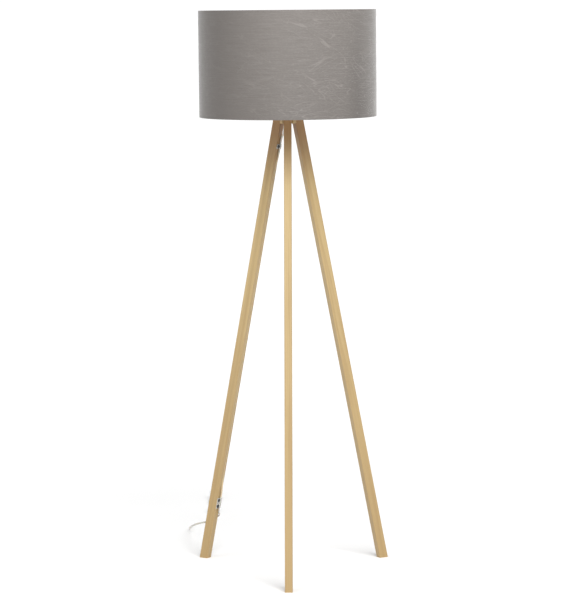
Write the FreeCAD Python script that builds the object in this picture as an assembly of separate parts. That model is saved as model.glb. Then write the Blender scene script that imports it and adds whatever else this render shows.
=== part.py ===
"""Tripod floor lamp: three splayed wooden legs on a small hub, a lampholder and a fabric drum shade.

Millimetres, +Z up. Every piece is drawn about the tripod's own axis, with the front leg towards -Y,
and is moved at the end so that the origin lies under the middle of the lamp's outline on the floor.
"""
import FreeCAD
import Part
import math
import os

from FreeCAD import Vector

# ---- overall sizes ----
LAMP_HEIGHT = 1500.0
SHADE_DIAMETER = 470.0
SHADE_HEIGHT = 281.0
FOOT_RADIUS = 282.0             # axis to the middle of each foot, on the floor
HUB_DROP = 18.0                 # hub's underside below the shade's lower rim

# ---- legs and hub ----
LEG_ANGLES = {"leg_front": -90.0, "leg_left": 150.0, "leg_right": 30.0}
LEG_WIDTH = 20.0
LEG_DEPTH = 25.0
LEG_EDGE_RADIUS = 1.8
HUB_FACE_DISTANCE = 18.0        # axis to each leg's inner face, level with the hub's underside
HUB_HEIGHT = 38.0
HUB_CORNER_DISTANCE = 21.0      # axis to the flats between the legs
HUB_CHAMFER = 0.8
BOLT_RISE = 16.0                # bolts above the hub's underside
BOLT_RADIUS = 3.0
BOLT_CLEARANCE = 0.3
BOLT_HEAD_RADIUS = 5.2
BOLT_HEAD_HEIGHT = 3.3
BOLT_RECESS = 4.5
BOLT_KEY_FLATS = 4.0
INSERT_RADIUS = 4.2
INSERT_LENGTH = 8.5
THREAD_CLEARANCE = 0.05
DOWEL_RISE = 29.0
DOWEL_RADIUS = 3.0
DOWEL_IN_HUB = 5.0
DOWEL_IN_LEG = 14.0

# ---- threaded tube and lampholder ----
NIPPLE_RADIUS = 5.0
NIPPLE_BORE_RADIUS = 3.5
NIPPLE_IN_HUB = 14.0
NIPPLE_ABOVE_CAP_FLOOR = 8.0
WASHER_RADIUS = 9.0
WASHER_THICKNESS = 1.2
NUT_FLATS = 14.0
NUT_HEIGHT = 4.0
CAP_GAP = 0.3
CAP_RADIUS = 19.0
CAP_HEIGHT = 30.0
CAP_WALL = 2.0
CAP_CHAMFER = 4.0
CAP_FLOOR = 3.0
CAP_COLLAR_RADIUS = 8.0
CAP_COLLAR_HEIGHT = 7.0
INSERT_BLOCK_GAP = 0.6          # contact block inside the cap's wall
INSERT_BLOCK_HEIGHT = 12.0
INSERT_BLOCK_PROUD = 3.0        # contact block above the cap's rim
SKIRT_WALL = 3.3                # round the contact block
SKIRT_BAND_WALL = 1.9           # round the cap
SKIRT_BAND_OVERLAP = 8.0
SKIRT_HEIGHT = 42.0             # above the contact block
SOCKET_RADIUS = 13.4            # E27 lamp cap's screw shell
SLIDE_CLEARANCE = 0.1
SHADE_NUT_WALL = 4.1
SHADE_NUT_REACH = 4.5           # flange beyond the wall
SHADE_NUT_HEIGHT = 8.0
SHADE_NUT_FLANGE = 2.5
TERMINAL_RADIUS = 1.5
TERMINAL_LENGTH = 7.0
WIRE_RADIUS = 0.9
CONTACT_THICKNESS = 0.6
CONTACT_WIDTH = 5.0
CONTACT_BOW = 2.6
CONTACT_SLOT_DEPTH = 1.0        # groove in the socket's wall that the side contact lies in
SIDE_CONTACT_LENGTH = 20.0
WELL_RADIUS = 9.0

# ---- shade ----
COVER_THICKNESS = 0.6
LINER_THICKNESS = 0.8
GLUE_GAP = 0.05
RING_WIRE_RADIUS = 1.7
HEM_DEPTH = 8.0
ARM_RADIUS = 1.8
ARM_NOTCH_CLEARANCE = 0.4
ARM_ANGLES = (-30.0, 90.0, 210.0)
FITTER_HOLE_CLEARANCE = 0.4     # round the lampholder's skirt
FITTER_RIM_WIDTH = 9.8
FITTER_THICKNESS = 2.0

# ---- supply lead ----
CORD_RADIUS = 2.25
CORD_BEARING_GAP = 0.05         # lead clear of the leg face that it lies on
CORD_HOLE_DRIFT = 9.0           # sideways run of the slanted hole through the hub
CORD_HOLE_ANGLE = 210.0
CORD_TOP_GAP = 2.5              # end of the lead's jacket above the threaded tube
CORD_HOLE_RUN_ON = 1.33         # lead keeps the hole's direction this many times the hole's length
CORD_CROSSING_SHARE = 0.58      # middle point of the crossing from hub to leg, and how far it sags aside
CORD_CROSSING_SWAY = Vector(3.5, -4.0, -1.0)
CORD_JOIN_DROP = 36.0           # from the hub's underside down to where the lead reaches the left leg
CORD_LEAVES_LEG = 145.0         # height of the lower clip's lower end
CORD_SIDE = -4.5                # lead beside the leg's middle, towards the back
GROOVE_WIDTH = 5.0
GROOVE_COVER = 0.35             # lead's top below the leg's face
GROOVE_FLOOR_GAP = 0.1
GROOVE_UNDER_CLIP = 5.0
CORD_RAMP_START = 12.0          # beyond each clip
CORD_RAMP_RUN = 45.0            # from lying on the face to lying in the groove
UPPER_CLIP_DROP = 59.0          # from the hub's underside down to the upper clip's middle
UPPER_CLIP_LENGTH = 12.0
LOWER_CLIP_LENGTH = 29.0
CLIP_FRONT = 8.6                # clip's edges from the leg's middle
CLIP_LIP = 1.2
CLIP_FLANGE = 2.0
CLIP_WALL = 1.35
CLIP_CHANNEL_CLEARANCE = 0.1
CLIP_SCREW_OFFSET = 3.6
CLIP_SCREW_RADIUS = 1.25
CLIP_SCREW_LENGTH = 12.0
CLIP_SCREW_HEAD_RADIUS = 4.2
CLIP_SCREW_HEAD_HEIGHT = 1.8
LOWER_CLIP_SCREWS = (5.7, 22.9)  # up from the clip's lower end

# From the lower clip round behind the left leg, out to the left, back and down to the floor in an
# easy bow, and in again behind the leg to the switch: points after the clip's lower end.
ROUTE_TO_SWITCH = [
    (-204.7, 123.7, 131.7), (-202.2, 129.3, 122.3), (-204.4, 139.6, 117.4), (-212.2, 146.4, 111.8),
    (-222.4, 151.6, 106.3), (-233.2, 155.8, 100.2), (-246.4, 159.3, 94.4), (-259.8, 165.0, 90.8),
    (-271.2, 175.0, 86.2),
    (-281.3, 191.0, 78.9), (-288.8, 213.0, 70.5), (-293.4, 245.0, 61.7), (-298.6, 295.0, 50.2),
    (-301.2, 350.0, 40.1), (-306.4, 405.0, 27.2), (-308.7, 458.0, 18.3), (-312.0, 502.0, 8.8),
    (-313.2, 532.0, 3.6), (-310.6, 562.0, 2.35), (-300.6, 588.0, 2.35), (-288.4, 603.6, 2.35),
    (-276.4, 614.6, 2.35), (-266.4, 629.0, 2.35), (-260.5, 649.0, 2.4), (-259.5, 672.0, 3.0),
    (-260.8, 696.0, 4.6), (-261.5, 718.0, 6.0)]
# From the switch over the floor to the hank.
ROUTE_TO_HANK = [
    (-261.5, 818.0, 6.0), (-262.6, 836.0, 4.4), (-267.0, 854.0, 2.9), (-274.5, 871.0, 2.5),
    (-279.6, 888.0, 2.7), (-280.5, 907.0, 3.05)]
# From the top of the hank up into the plug's strain relief.
ROUTE_TO_PLUG = [
    (-280.4, 902.0, 9.6), (-279.4, 911.0, 12.2), (-272.6, 922.5, 15.4), (-267.6, 931.5, 16.8),
    (-267.0, 940.0, 16.85)]

HANK_MIDDLE = Vector(-267.0, 943.0, 0.0)
HANK_RUN = 72.0                 # straight part of each run
HANK_FOLD_RADIUS = 13.5         # middle line of the end folds
HANK_LAYERS = 2
TIE_THICKNESS = 0.8
TIE_WIDTH = 5.0
TIE_OFFSET = -24.0              # tie's middle from the hank's middle, along the runs
TIE_GAP = 0.1

# ---- switch on the lead ----
SWITCH_MIDDLE = Vector(-261.5, 768.0, 0.0)
SWITCH_LENGTH = 60.0
SWITCH_WIDTH = 27.0
SWITCH_HEIGHT = 17.0
SWITCH_PARTING = 6.0
SWITCH_CORNER_RADIUS = 9.0
SWITCH_TOP_RADIUS = 2.0
SWITCH_WALL = 1.8
RELIEF_LENGTH = 20.0
RELIEF_ROOT_RADIUS = 4.6
RELIEF_TIP_RADIUS = 3.0
ROCKER_PIVOT_HEIGHT = 7.5
ROCKER_RADIUS = 11.5
ROCKER_WIDTH = 9.0
ROCKER_SKIRT = 2.0              # rocker's flat underside below its pivot
ROCKER_VALLEY = 10.0            # pivot to the valley in the rocker's top
ROCKER_FACET_DEG = 9.0
ROCKER_REST_DEG = -7.0
ROCKER_GAP = 0.4
PIVOT_RADIUS = 1.2
PIVOT_LENGTH = 1.7
PIVOT_CLEARANCE = 0.06
SWITCH_SCREW_RADIUS = 1.4
SWITCH_SCREW_LENGTH = 11.0
SWITCH_SCREW_PLACES = ((-7.5, -19.0), (7.5, 19.0))
SWITCH_BOSS_RADIUS = 3.0
SWITCH_CONTACT_LENGTH = 16.0
PIVOT_POST_WIDTH = 8.0

# ---- plug: two 4 mm pins, 18.6 mm apart, sleeved next to the flat body ----
PLUG_FACE_Y = 995.0
PLUG_LENGTH = 35.0
PLUG_WIDTH = 35.3
PLUG_THICKNESS = 13.7
PLUG_TAIL_WIDTH = 15.0
PLUG_SHOULDER = 13.0            # full-width part behind the face
PLUG_EDGE_RADIUS = 2.5
PLUG_ON_HANK_GAP = 0.2
PIN_RADIUS = 2.0
PIN_LENGTH = 19.0
PIN_SPACING = 18.6
PIN_ROOT = 8.0
PIN_CORE_RADIUS = 1.5           # inside the sleeve and the body
PIN_SLEEVE_RADIUS = 1.75
PIN_SLEEVE_LENGTH = 10.0

# ---- worked out ----
UP = Vector(0, 0, 1)
SHADE_RADIUS = SHADE_DIAMETER / 2
SHADE_BOTTOM = LAMP_HEIGHT - SHADE_HEIGHT
HUB_BOTTOM = SHADE_BOTTOM - HUB_DROP
HUB_TOP = HUB_BOTTOM + HUB_HEIGHT
LEG_HUB_RADIUS = HUB_FACE_DISTANCE + LEG_DEPTH / 2
SPLAY = math.atan2(FOOT_RADIUS - LEG_HUB_RADIUS, HUB_BOTTOM)
CAP_BOTTOM = HUB_TOP + WASHER_THICKNESS + NUT_HEIGHT + CAP_GAP
CAP_TOP = CAP_BOTTOM + CAP_HEIGHT
INSERT_BLOCK_RADIUS = CAP_RADIUS - CAP_WALL - INSERT_BLOCK_GAP
SKIRT_BAND_RADIUS = CAP_RADIUS + SLIDE_CLEARANCE + SKIRT_BAND_WALL
SKIRT_RADIUS = INSERT_BLOCK_RADIUS + SLIDE_CLEARANCE + SKIRT_WALL
SHADE_NUT_HUB_RADIUS = SKIRT_RADIUS + SLIDE_CLEARANCE + SHADE_NUT_WALL
SHADE_NUT_RADIUS = SHADE_NUT_HUB_RADIUS + SHADE_NUT_REACH
FITTER_HOLE_RADIUS = SKIRT_RADIUS + FITTER_HOLE_CLEARANCE
FITTER_RADIUS = FITTER_HOLE_RADIUS + FITTER_RIM_WIDTH
BLOCK_TOP = CAP_TOP + INSERT_BLOCK_PROUD
BLOCK_BOTTOM = BLOCK_TOP - INSERT_BLOCK_HEIGHT
NIPPLE_TOP = CAP_BOTTOM + NIPPLE_ABOVE_CAP_FLOOR
SKIRT_TOP = BLOCK_TOP + SKIRT_HEIGHT
FITTER_BOTTOM = BLOCK_TOP + SHADE_NUT_HEIGHT + SLIDE_CLEARANCE
LINER_OUTER_RADIUS = SHADE_RADIUS - COVER_THICKNESS - GLUE_GAP
LINER_INNER_RADIUS = LINER_OUTER_RADIUS - LINER_THICKNESS
RING_RADIUS = LINER_INNER_RADIUS - GLUE_GAP - RING_WIRE_RADIUS
RING_INSET = COVER_THICKNESS + GLUE_GAP + RING_WIRE_RADIUS
FLAP_OUTER_RADIUS = RING_RADIUS - RING_WIRE_RADIUS - GLUE_GAP
CORD_OFFSET = LEG_DEPTH / 2 + CORD_BEARING_GAP + CORD_RADIUS
CORD_SUNK = LEG_DEPTH / 2 - GROOVE_COVER - CORD_RADIUS
GROOVE_DEPTH = GROOVE_COVER + 2 * CORD_RADIUS + GROOVE_FLOOR_GAP
CORD_JOINS_LEG = HUB_BOTTOM - CORD_JOIN_DROP
UPPER_CLIP_HEIGHT = HUB_BOTTOM - UPPER_CLIP_DROP
HANK_HALF_WIDTH = HANK_FOLD_RADIUS + CORD_RADIUS
HANK_BOTTOM = TIE_THICKNESS
HANK_TOP = HANK_BOTTOM + HANK_LAYERS * 2 * CORD_RADIUS
PLUG_AXIS_HEIGHT = HANK_TOP + PLUG_ON_HANK_GAP + PLUG_THICKNESS / 2
FRONT_REACH = FOOT_RADIUS + LEG_DEPTH / 2 / math.cos(SPLAY)
AXIS_Y = (FRONT_REACH - SHADE_RADIUS) / 2


# ---- helpers ----
def polar(radius, angle_deg, height):
    """Point at a radius and direction about the lamp's axis."""
    angle = math.radians(angle_deg)
    return Vector(radius * math.cos(angle), radius * math.sin(angle), height)


def placed(shape, base, direction):
    """Shape drawn along +Z from the origin, moved to a base point and turned to a direction."""
    moved = shape.copy()
    moved.Placement = FreeCAD.Placement(base, FreeCAD.Rotation(UP, direction))
    return moved


def revolved(profile):
    """Solid of revolution about the lamp's axis from (radius, height) corners."""
    corners = [Vector(radius, 0, height) for radius, height in profile]
    face = Part.Face(Part.makePolygon(corners + corners[:1]))
    return face.revolve(Vector(0, 0, 0), UP, 360)


def tube(outer, inner, bottom, height):
    """Upright round tube on the lamp's axis."""
    top = bottom + height
    return revolved([(inner, bottom), (outer, bottom), (outer, top), (inner, top)])


def prism(corners, thickness_vector):
    """Flat outline through 3-D corners, extruded."""
    return Part.Face(Part.makePolygon(corners + corners[:1])).extrude(thickness_vector)


def hexagon(flats, height):
    """Hexagonal prism on the origin, across flats."""
    corner = flats / 2 / math.cos(math.pi / 6)
    return prism([polar(corner, 60 * k, 0) for k in range(6)], Vector(0, 0, height))


def round_cord(points, radius, label):
    """Round cord along straight runs joined by tangent arcs as large as the runs allow."""
    points = [Vector(*point) for point in points]
    runs = [(b - a).Length for a, b in zip(points, points[1:])]
    edges = []
    start = points[0]
    length = 0.0
    tightest = float("inf")
    for i in range(1, len(points) - 1):
        before = (points[i] - points[i - 1]).normalize()
        after = (points[i + 1] - points[i]).normalize()
        turn = before.getAngle(after)
        reach = 0.45 * min(runs[i - 1], runs[i])
        arc_radius = reach / math.tan(turn / 2)
        tightest = min(tightest, arc_radius)
        arc_start = points[i] - before * reach
        arc_end = points[i] + after * reach
        to_middle = (after - before).normalize() * arc_radius * (1 / math.cos(turn / 2) - 1)
        edges.append(Part.LineSegment(start, arc_start).toShape())
        edges.append(Part.Arc(arc_start, points[i] + to_middle, arc_end).toShape())
        length += (arc_start - start).Length + arc_radius * turn
        start = arc_end
    edges.append(Part.LineSegment(start, points[-1]).toShape())
    length += (points[-1] - start).Length
    section = Part.Wire(Part.makeCircle(radius, points[0], points[1] - points[0]))
    cord = Part.Wire(edges).makePipeShell([section], True, False)
    volume = math.pi * radius ** 2 * length
    print(f"{label}: length {length:.0f}, tightest radius {tightest:.1f}, "
          f"volume {cord.Volume:.0f} against {volume:.0f}")
    return cord


# ---- legs ----
def leg_direction(angle_deg):
    """Outward square-to-the-face direction, sideways direction and rising direction of a leg."""
    outward = polar(math.cos(SPLAY), angle_deg, math.sin(SPLAY))
    rising = polar(-math.sin(SPLAY), angle_deg, math.cos(SPLAY))
    return outward, rising.cross(outward), rising


def leg_point(angle_deg, height, out=0.0, side=0.0):
    """Point beside a leg's middle line: height is where that line is met."""
    outward, sideways, _ = leg_direction(angle_deg)
    middle = polar(FOOT_RADIUS - height * math.tan(SPLAY), angle_deg, height)
    return middle + outward * out + sideways * side


def leg_bolt_head_seat(angle_deg):
    """Bottom of the recess that a leg bolt's head sits in."""
    return leg_point(angle_deg, HUB_BOTTOM + BOLT_RISE, LEG_DEPTH / 2 - BOLT_RECESS)


def make_leg(angle_deg):
    """Rounded square bar, cut level at the floor and at the hub's top, drilled for bolt and dowel."""
    outward, _, rising = leg_direction(angle_deg)
    length = LAMP_HEIGHT
    bar = Part.makeBox(LEG_DEPTH, LEG_WIDTH, length, Vector(-LEG_DEPTH / 2, -LEG_WIDTH / 2, 0))
    bar = bar.makeFillet(LEG_EDGE_RADIUS, [e for e in bar.Edges if e.Length > length - 1])
    bar.rotate(Vector(0, 0, 0), Vector(0, 1, 0), -math.degrees(SPLAY))
    bar.rotate(Vector(0, 0, 0), UP, angle_deg)
    bar.translate(leg_point(angle_deg, 0) - rising * LEG_DEPTH)
    reach = 2 * FOOT_RADIUS
    slab = Part.makeBox(2 * reach, 2 * reach, HUB_TOP, Vector(-reach, -reach, 0))
    leg = bar.common(slab)
    seat = leg_bolt_head_seat(angle_deg)
    recess = Part.makeCylinder(BOLT_HEAD_RADIUS + BOLT_CLEARANCE, LEG_DEPTH, seat, outward)
    shank_hole = Part.makeCylinder(BOLT_RADIUS + BOLT_CLEARANCE, 2 * LEG_DEPTH, seat + outward, outward * -1)
    leg = leg.cut(recess).cut(shank_hole)
    dowel_face = leg_point(angle_deg, HUB_BOTTOM + DOWEL_RISE, -LEG_DEPTH / 2)
    return leg.cut(Part.makeCylinder(DOWEL_RADIUS, DOWEL_IN_LEG, dowel_face, outward))


def make_legs():
    """The three legs; the left one also has the lead's groove and pilot holes for the clip screws."""
    legs = {name: make_leg(angle) for name, angle in LEG_ANGLES.items()}
    legs["leg_left"] = legs["leg_left"].cut(cord_groove())
    for screw in clip_screw_places():
        inward = leg_direction(LEG_ANGLES["leg_left"])[0]
        pilot = Part.makeCylinder(CLIP_SCREW_RADIUS, CLIP_SCREW_LENGTH, screw, inward)
        legs["leg_left"] = legs["leg_left"].cut(pilot)
    return legs


# ---- hub and its fixings ----
def cord_hole_exit():
    """Where the slanted lead hole comes out of the hub's underside."""
    return polar(CORD_HOLE_DRIFT, CORD_HOLE_ANGLE, HUB_BOTTOM)


def make_hub():
    """Wooden block with three tilted flats for the legs, a blind bore on top and a slanted lead hole."""
    hub = Part.makeCylinder(2 * HUB_CORNER_DISTANCE, HUB_HEIGHT, Vector(0, 0, HUB_BOTTOM))
    span = 8 * HUB_CORNER_DISTANCE
    for angle in LEG_ANGLES.values():
        outward = leg_direction(angle)[0]
        beyond_leg_face = Part.makeBox(span, span, span, Vector(-span / 2, -span / 2, 0))
        hub = hub.cut(placed(beyond_leg_face, leg_point(angle, HUB_BOTTOM, -LEG_DEPTH / 2), outward))
        beyond_corner = Part.makeBox(span, span, span, Vector(-span / 2, -span / 2, 0))
        corner = polar(HUB_CORNER_DISTANCE, angle + 60, HUB_BOTTOM)
        hub = hub.cut(placed(beyond_corner, corner, polar(1, angle + 60, 0)))
    underside = [e for e in hub.Edges if e.BoundBox.ZMax < HUB_BOTTOM + 0.01]
    hub = hub.makeChamfer(HUB_CHAMFER, underside)
    bore_floor = Vector(0, 0, HUB_TOP - NIPPLE_IN_HUB)
    hub = hub.cut(Part.makeCylinder(NIPPLE_RADIUS + THREAD_CLEARANCE, NIPPLE_IN_HUB + 1, bore_floor))
    slant = cord_hole_exit() - bore_floor
    slant_start = bore_floor - slant * 0.2
    hub = hub.cut(Part.makeCylinder(NIPPLE_BORE_RADIUS, 2 * slant.Length, slant_start, slant))
    for angle in LEG_ANGLES.values():
        inward = leg_direction(angle)[0] * -1
        bolt_face = leg_point(angle, HUB_BOTTOM + BOLT_RISE, -LEG_DEPTH / 2)
        hub = hub.cut(Part.makeCylinder(INSERT_RADIUS, INSERT_LENGTH, bolt_face, inward))
        dowel_face = leg_point(angle, HUB_BOTTOM + DOWEL_RISE, -LEG_DEPTH / 2)
        hub = hub.cut(Part.makeCylinder(DOWEL_RADIUS, DOWEL_IN_HUB, dowel_face, inward))
    return hub


def make_leg_fixings():
    """Bolts, threaded inserts and dowels, one of each to a leg."""
    bolts, inserts, dowels = [], [], []
    for angle in LEG_ANGLES.values():
        outward = leg_direction(angle)[0]
        inward = outward * -1
        seat = leg_bolt_head_seat(angle)
        shank_length = LEG_DEPTH - BOLT_RECESS + INSERT_LENGTH - 1
        head = Part.makeCylinder(BOLT_HEAD_RADIUS, BOLT_HEAD_HEIGHT, seat, outward)
        bolt = head.fuse(Part.makeCylinder(BOLT_RADIUS, shank_length, seat, inward))
        key_floor = seat + outward * (BOLT_HEAD_HEIGHT / 2)
        bolts.append(bolt.cut(placed(hexagon(BOLT_KEY_FLATS, BOLT_HEAD_HEIGHT), key_floor, outward)))
        face = leg_point(angle, HUB_BOTTOM + BOLT_RISE, -LEG_DEPTH / 2)
        sleeve = Part.makeCylinder(INSERT_RADIUS, INSERT_LENGTH, face, inward)
        bore = Part.makeCylinder(BOLT_RADIUS + THREAD_CLEARANCE, INSERT_LENGTH, face, inward)
        inserts.append(sleeve.cut(bore))
        dowel_face = leg_point(angle, HUB_BOTTOM + DOWEL_RISE, -LEG_DEPTH / 2)
        start = dowel_face + outward * (DOWEL_IN_LEG - 0.5)
        dowels.append(Part.makeCylinder(DOWEL_RADIUS, DOWEL_IN_LEG + DOWEL_IN_HUB - 1, start, inward))
    return {name: Part.makeCompound(group) for name, group in (
        ("leg_bolts", bolts), ("hub_inserts", inserts), ("leg_dowels", dowels))}


def make_stem():
    """Hollow threaded tube, washer and lock nut on top of the hub."""
    bottom = HUB_TOP - NIPPLE_IN_HUB
    nut = hexagon(NUT_FLATS, NUT_HEIGHT)
    nut.translate(Vector(0, 0, HUB_TOP + WASHER_THICKNESS))
    bore = Part.makeCylinder(NIPPLE_RADIUS + THREAD_CLEARANCE, HUB_HEIGHT, Vector(0, 0, HUB_TOP))
    return {
        "threaded_tube": tube(NIPPLE_RADIUS, NIPPLE_BORE_RADIUS, bottom, NIPPLE_TOP - bottom),
        "hub_washer": tube(WASHER_RADIUS, NIPPLE_RADIUS + THREAD_CLEARANCE, HUB_TOP, WASHER_THICKNESS),
        "lock_nut": nut.cut(bore)}


# ---- lampholder ----
def terminal_places():
    """Outer ends and inward directions of the two terminal screws."""
    middle = BLOCK_BOTTOM + INSERT_BLOCK_HEIGHT / 2
    return [(polar(INSERT_BLOCK_RADIUS - 0.2, angle, middle), polar(-1, angle, 0)) for angle in (0, 180)]


def make_holder_shells():
    """Cap screwed to the threaded tube, and the skirt that closes it and takes the shade nuts."""
    nipple_hole = NIPPLE_RADIUS + THREAD_CLEARANCE
    inner = CAP_RADIUS - CAP_WALL
    floor_top = CAP_BOTTOM + CAP_FLOOR
    collar_top = CAP_BOTTOM + CAP_COLLAR_HEIGHT
    cap = revolved([
        (nipple_hole, CAP_BOTTOM), (CAP_RADIUS - CAP_CHAMFER, CAP_BOTTOM),
        (CAP_RADIUS, CAP_BOTTOM + CAP_CHAMFER), (CAP_RADIUS, CAP_TOP), (inner, CAP_TOP),
        (inner, floor_top + 1), (inner - 1, floor_top),
        (CAP_COLLAR_RADIUS, floor_top), (CAP_COLLAR_RADIUS, collar_top), (nipple_hole, collar_top)])
    band_bottom = CAP_TOP - SKIRT_BAND_OVERLAP
    band_inner = CAP_RADIUS + SLIDE_CLEARANCE
    block_bore = INSERT_BLOCK_RADIUS + SLIDE_CLEARANCE
    skirt = revolved([
        (band_inner, band_bottom), (SKIRT_BAND_RADIUS, band_bottom), (SKIRT_BAND_RADIUS, BLOCK_TOP),
        (SKIRT_RADIUS, BLOCK_TOP), (SKIRT_RADIUS, SKIRT_TOP - 1), (SKIRT_RADIUS - 1, SKIRT_TOP),
        (SOCKET_RADIUS, SKIRT_TOP), (SOCKET_RADIUS, BLOCK_TOP + SLIDE_CLEARANCE),
        (block_bore, BLOCK_TOP + SLIDE_CLEARANCE), (block_bore, CAP_TOP + SLIDE_CLEARANCE),
        (band_inner, CAP_TOP + SLIDE_CLEARANCE)])
    slot_corner = Vector(0, -CONTACT_WIDTH / 2 - SLIDE_CLEARANCE, BLOCK_TOP)
    slot_width = CONTACT_WIDTH + 2 * SLIDE_CLEARANCE
    slot = Part.makeBox(SOCKET_RADIUS + CONTACT_SLOT_DEPTH, slot_width, SIDE_CONTACT_LENGTH + 1, slot_corner)
    return {"holder_cap": cap, "holder_skirt": skirt.cut(slot)}


def make_holder_inside(leg_cord):
    """Contact block, its two contacts and screws, and the lead's two cores."""
    block = Part.makeCylinder(INSERT_BLOCK_RADIUS, INSERT_BLOCK_HEIGHT, Vector(0, 0, BLOCK_BOTTOM))
    screws, cores = [], []
    core_start = NIPPLE_TOP + CORD_TOP_GAP
    for place, inward in terminal_places():
        block = block.cut(Part.makeCylinder(
            TERMINAL_RADIUS + THREAD_CLEARANCE, TERMINAL_LENGTH + 0.5, place - inward * 0.5, inward))
        screws.append(Part.makeCylinder(TERMINAL_RADIUS, TERMINAL_LENGTH, place, inward))
        side = 1 if place.x > 0 else -1
        low = Vector(side * 1.1, 0, core_start)
        high = Vector(side * 6.5, 0, BLOCK_BOTTOM + 3)
        bore = Part.makeCylinder(WIRE_RADIUS + SLIDE_CLEARANCE, (high - low).Length + 0.5, low, high - low)
        block = block.cut(bore)
        cores.append(Part.makeCylinder(WIRE_RADIUS, (high - low).Length, low, high - low).cut(leg_cord))
    well_depth = CONTACT_BOW + CONTACT_THICKNESS + 2 * SLIDE_CLEARANCE
    well_floor = BLOCK_TOP - well_depth
    block = block.cut(Part.makeCylinder(WELL_RADIUS, well_depth, Vector(0, 0, well_floor)))
    leaf = [(-7, 0), (-3.4, 0), (-1.6, CONTACT_BOW), (1.6, CONTACT_BOW), (3.4, 0), (7, 0)]
    upper_side = [(y, z + CONTACT_THICKNESS) for y, z in reversed(leaf)]
    leaf_corners = [Vector(-CONTACT_WIDTH / 2, y, well_floor + z) for y, z in leaf + upper_side]
    wall = SOCKET_RADIUS + CONTACT_SLOT_DEPTH - SLIDE_CLEARANCE
    strip_corner = Vector(wall - CONTACT_THICKNESS, -CONTACT_WIDTH / 2, BLOCK_TOP + SLIDE_CLEARANCE)
    strip = Part.makeBox(CONTACT_THICKNESS, CONTACT_WIDTH, SIDE_CONTACT_LENGTH, strip_corner)
    return {
        "contact_block": block,
        "centre_contact": prism(leaf_corners, Vector(CONTACT_WIDTH, 0, 0)),
        "side_contact": strip,
        "terminal_screws": Part.makeCompound(screws),
        "lead_cores": Part.makeCompound(cores)}


def shade_nut(flange_bottom, flange_first):
    """Ring that screws on the skirt; its wide flange bears on the shade's fitter."""
    bore = SKIRT_RADIUS + SLIDE_CLEARANCE
    grip = SHADE_NUT_HEIGHT - SHADE_NUT_FLANGE
    flange = tube(SHADE_NUT_RADIUS, bore, flange_bottom, SHADE_NUT_FLANGE)
    grip_bottom = flange_bottom + SHADE_NUT_FLANGE if flange_first else flange_bottom - grip
    ring = flange.fuse(tube(SHADE_NUT_HUB_RADIUS, bore, grip_bottom, grip)).removeSplitter()
    for k in range(12):
        groove = Part.makeCylinder(1.2, grip, polar(SHADE_NUT_HUB_RADIUS + 0.5, 30 * k, grip_bottom))
        ring = ring.cut(groove)
    return ring


# ---- shade ----
def shade_arm(angle_deg, radius):
    """Round rod from the lower ring up to the fitter."""
    low = polar(RING_RADIUS, angle_deg, SHADE_BOTTOM + RING_INSET)
    high = polar(FITTER_RADIUS - 0.5, angle_deg, FITTER_BOTTOM + FITTER_THICKNESS / 2)
    return Part.makeCylinder(radius, (high - low).Length, low, high - low)


def make_shade_frame():
    """Two wire rings, three arms and the fitter that sits between the shade nuts."""
    def ring(height):
        return Part.makeTorus(RING_RADIUS, RING_WIRE_RADIUS, Vector(0, 0, height), UP)
    lower = ring(SHADE_BOTTOM + RING_INSET)
    fitter = tube(FITTER_RADIUS, FITTER_HOLE_RADIUS, FITTER_BOTTOM, FITTER_THICKNESS)
    arms = [shade_arm(angle, ARM_RADIUS).cut(lower).cut(fitter) for angle in ARM_ANGLES]
    arms = [max(arm.Solids, key=lambda solid: solid.Volume) for arm in arms]
    return {
        "shade_top_ring": ring(LAMP_HEIGHT - RING_INSET),
        "shade_bottom_ring": lower,
        "shade_arms": Part.makeCompound(arms),
        "shade_fitter": fitter}


def make_shade_skin():
    """Stiff liner and the fabric glued round it, its edges turned in over both rings."""
    fold = COVER_THICKNESS + GLUE_GAP
    liner = tube(LINER_OUTER_RADIUS, LINER_INNER_RADIUS, SHADE_BOTTOM + fold, SHADE_HEIGHT - 2 * fold)
    wall = SHADE_RADIUS - COVER_THICKNESS
    flap = FLAP_OUTER_RADIUS
    flap_inner = flap - COVER_THICKNESS
    low, high = SHADE_BOTTOM, LAMP_HEIGHT
    cover = revolved([
        (SHADE_RADIUS, low), (SHADE_RADIUS, high), (flap_inner, high), (flap_inner, high - HEM_DEPTH),
        (flap, high - HEM_DEPTH), (flap, high - COVER_THICKNESS), (wall, high - COVER_THICKNESS),
        (wall, low + COVER_THICKNESS), (flap, low + COVER_THICKNESS), (flap, low + HEM_DEPTH),
        (flap_inner, low + HEM_DEPTH), (flap_inner, low)])
    for angle in ARM_ANGLES:
        cover = cover.cut(shade_arm(angle, ARM_RADIUS + ARM_NOTCH_CLEARANCE))
    return {"shade_liner": liner, "shade_cover": cover}


# ---- lead on the leg ----
def lower_clip_top():
    """Height of the lower clip's upper end."""
    return CORD_LEAVES_LEG + LOWER_CLIP_LENGTH * math.cos(SPLAY)


def upper_clip_bottom():
    """Height of the upper clip's lower end."""
    return UPPER_CLIP_HEIGHT - UPPER_CLIP_LENGTH / 2 * math.cos(SPLAY)


def cord_groove():
    """Slot in the left leg's inner face, from under one clip to under the other."""
    left = LEG_ANGLES["leg_left"]
    outward, sideways, _ = leg_direction(left)
    low = leg_point(left, lower_clip_top() - GROOVE_UNDER_CLIP, -LEG_DEPTH, CORD_SIDE)
    high = leg_point(left, upper_clip_bottom() + GROOVE_UNDER_CLIP, -LEG_DEPTH, CORD_SIDE)
    edge = sideways * (GROOVE_WIDTH / 2)
    corners = [low - edge, low + edge, high + edge, high - edge]
    return prism(corners, outward * (LEG_DEPTH / 2 + GROOVE_DEPTH))


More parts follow.
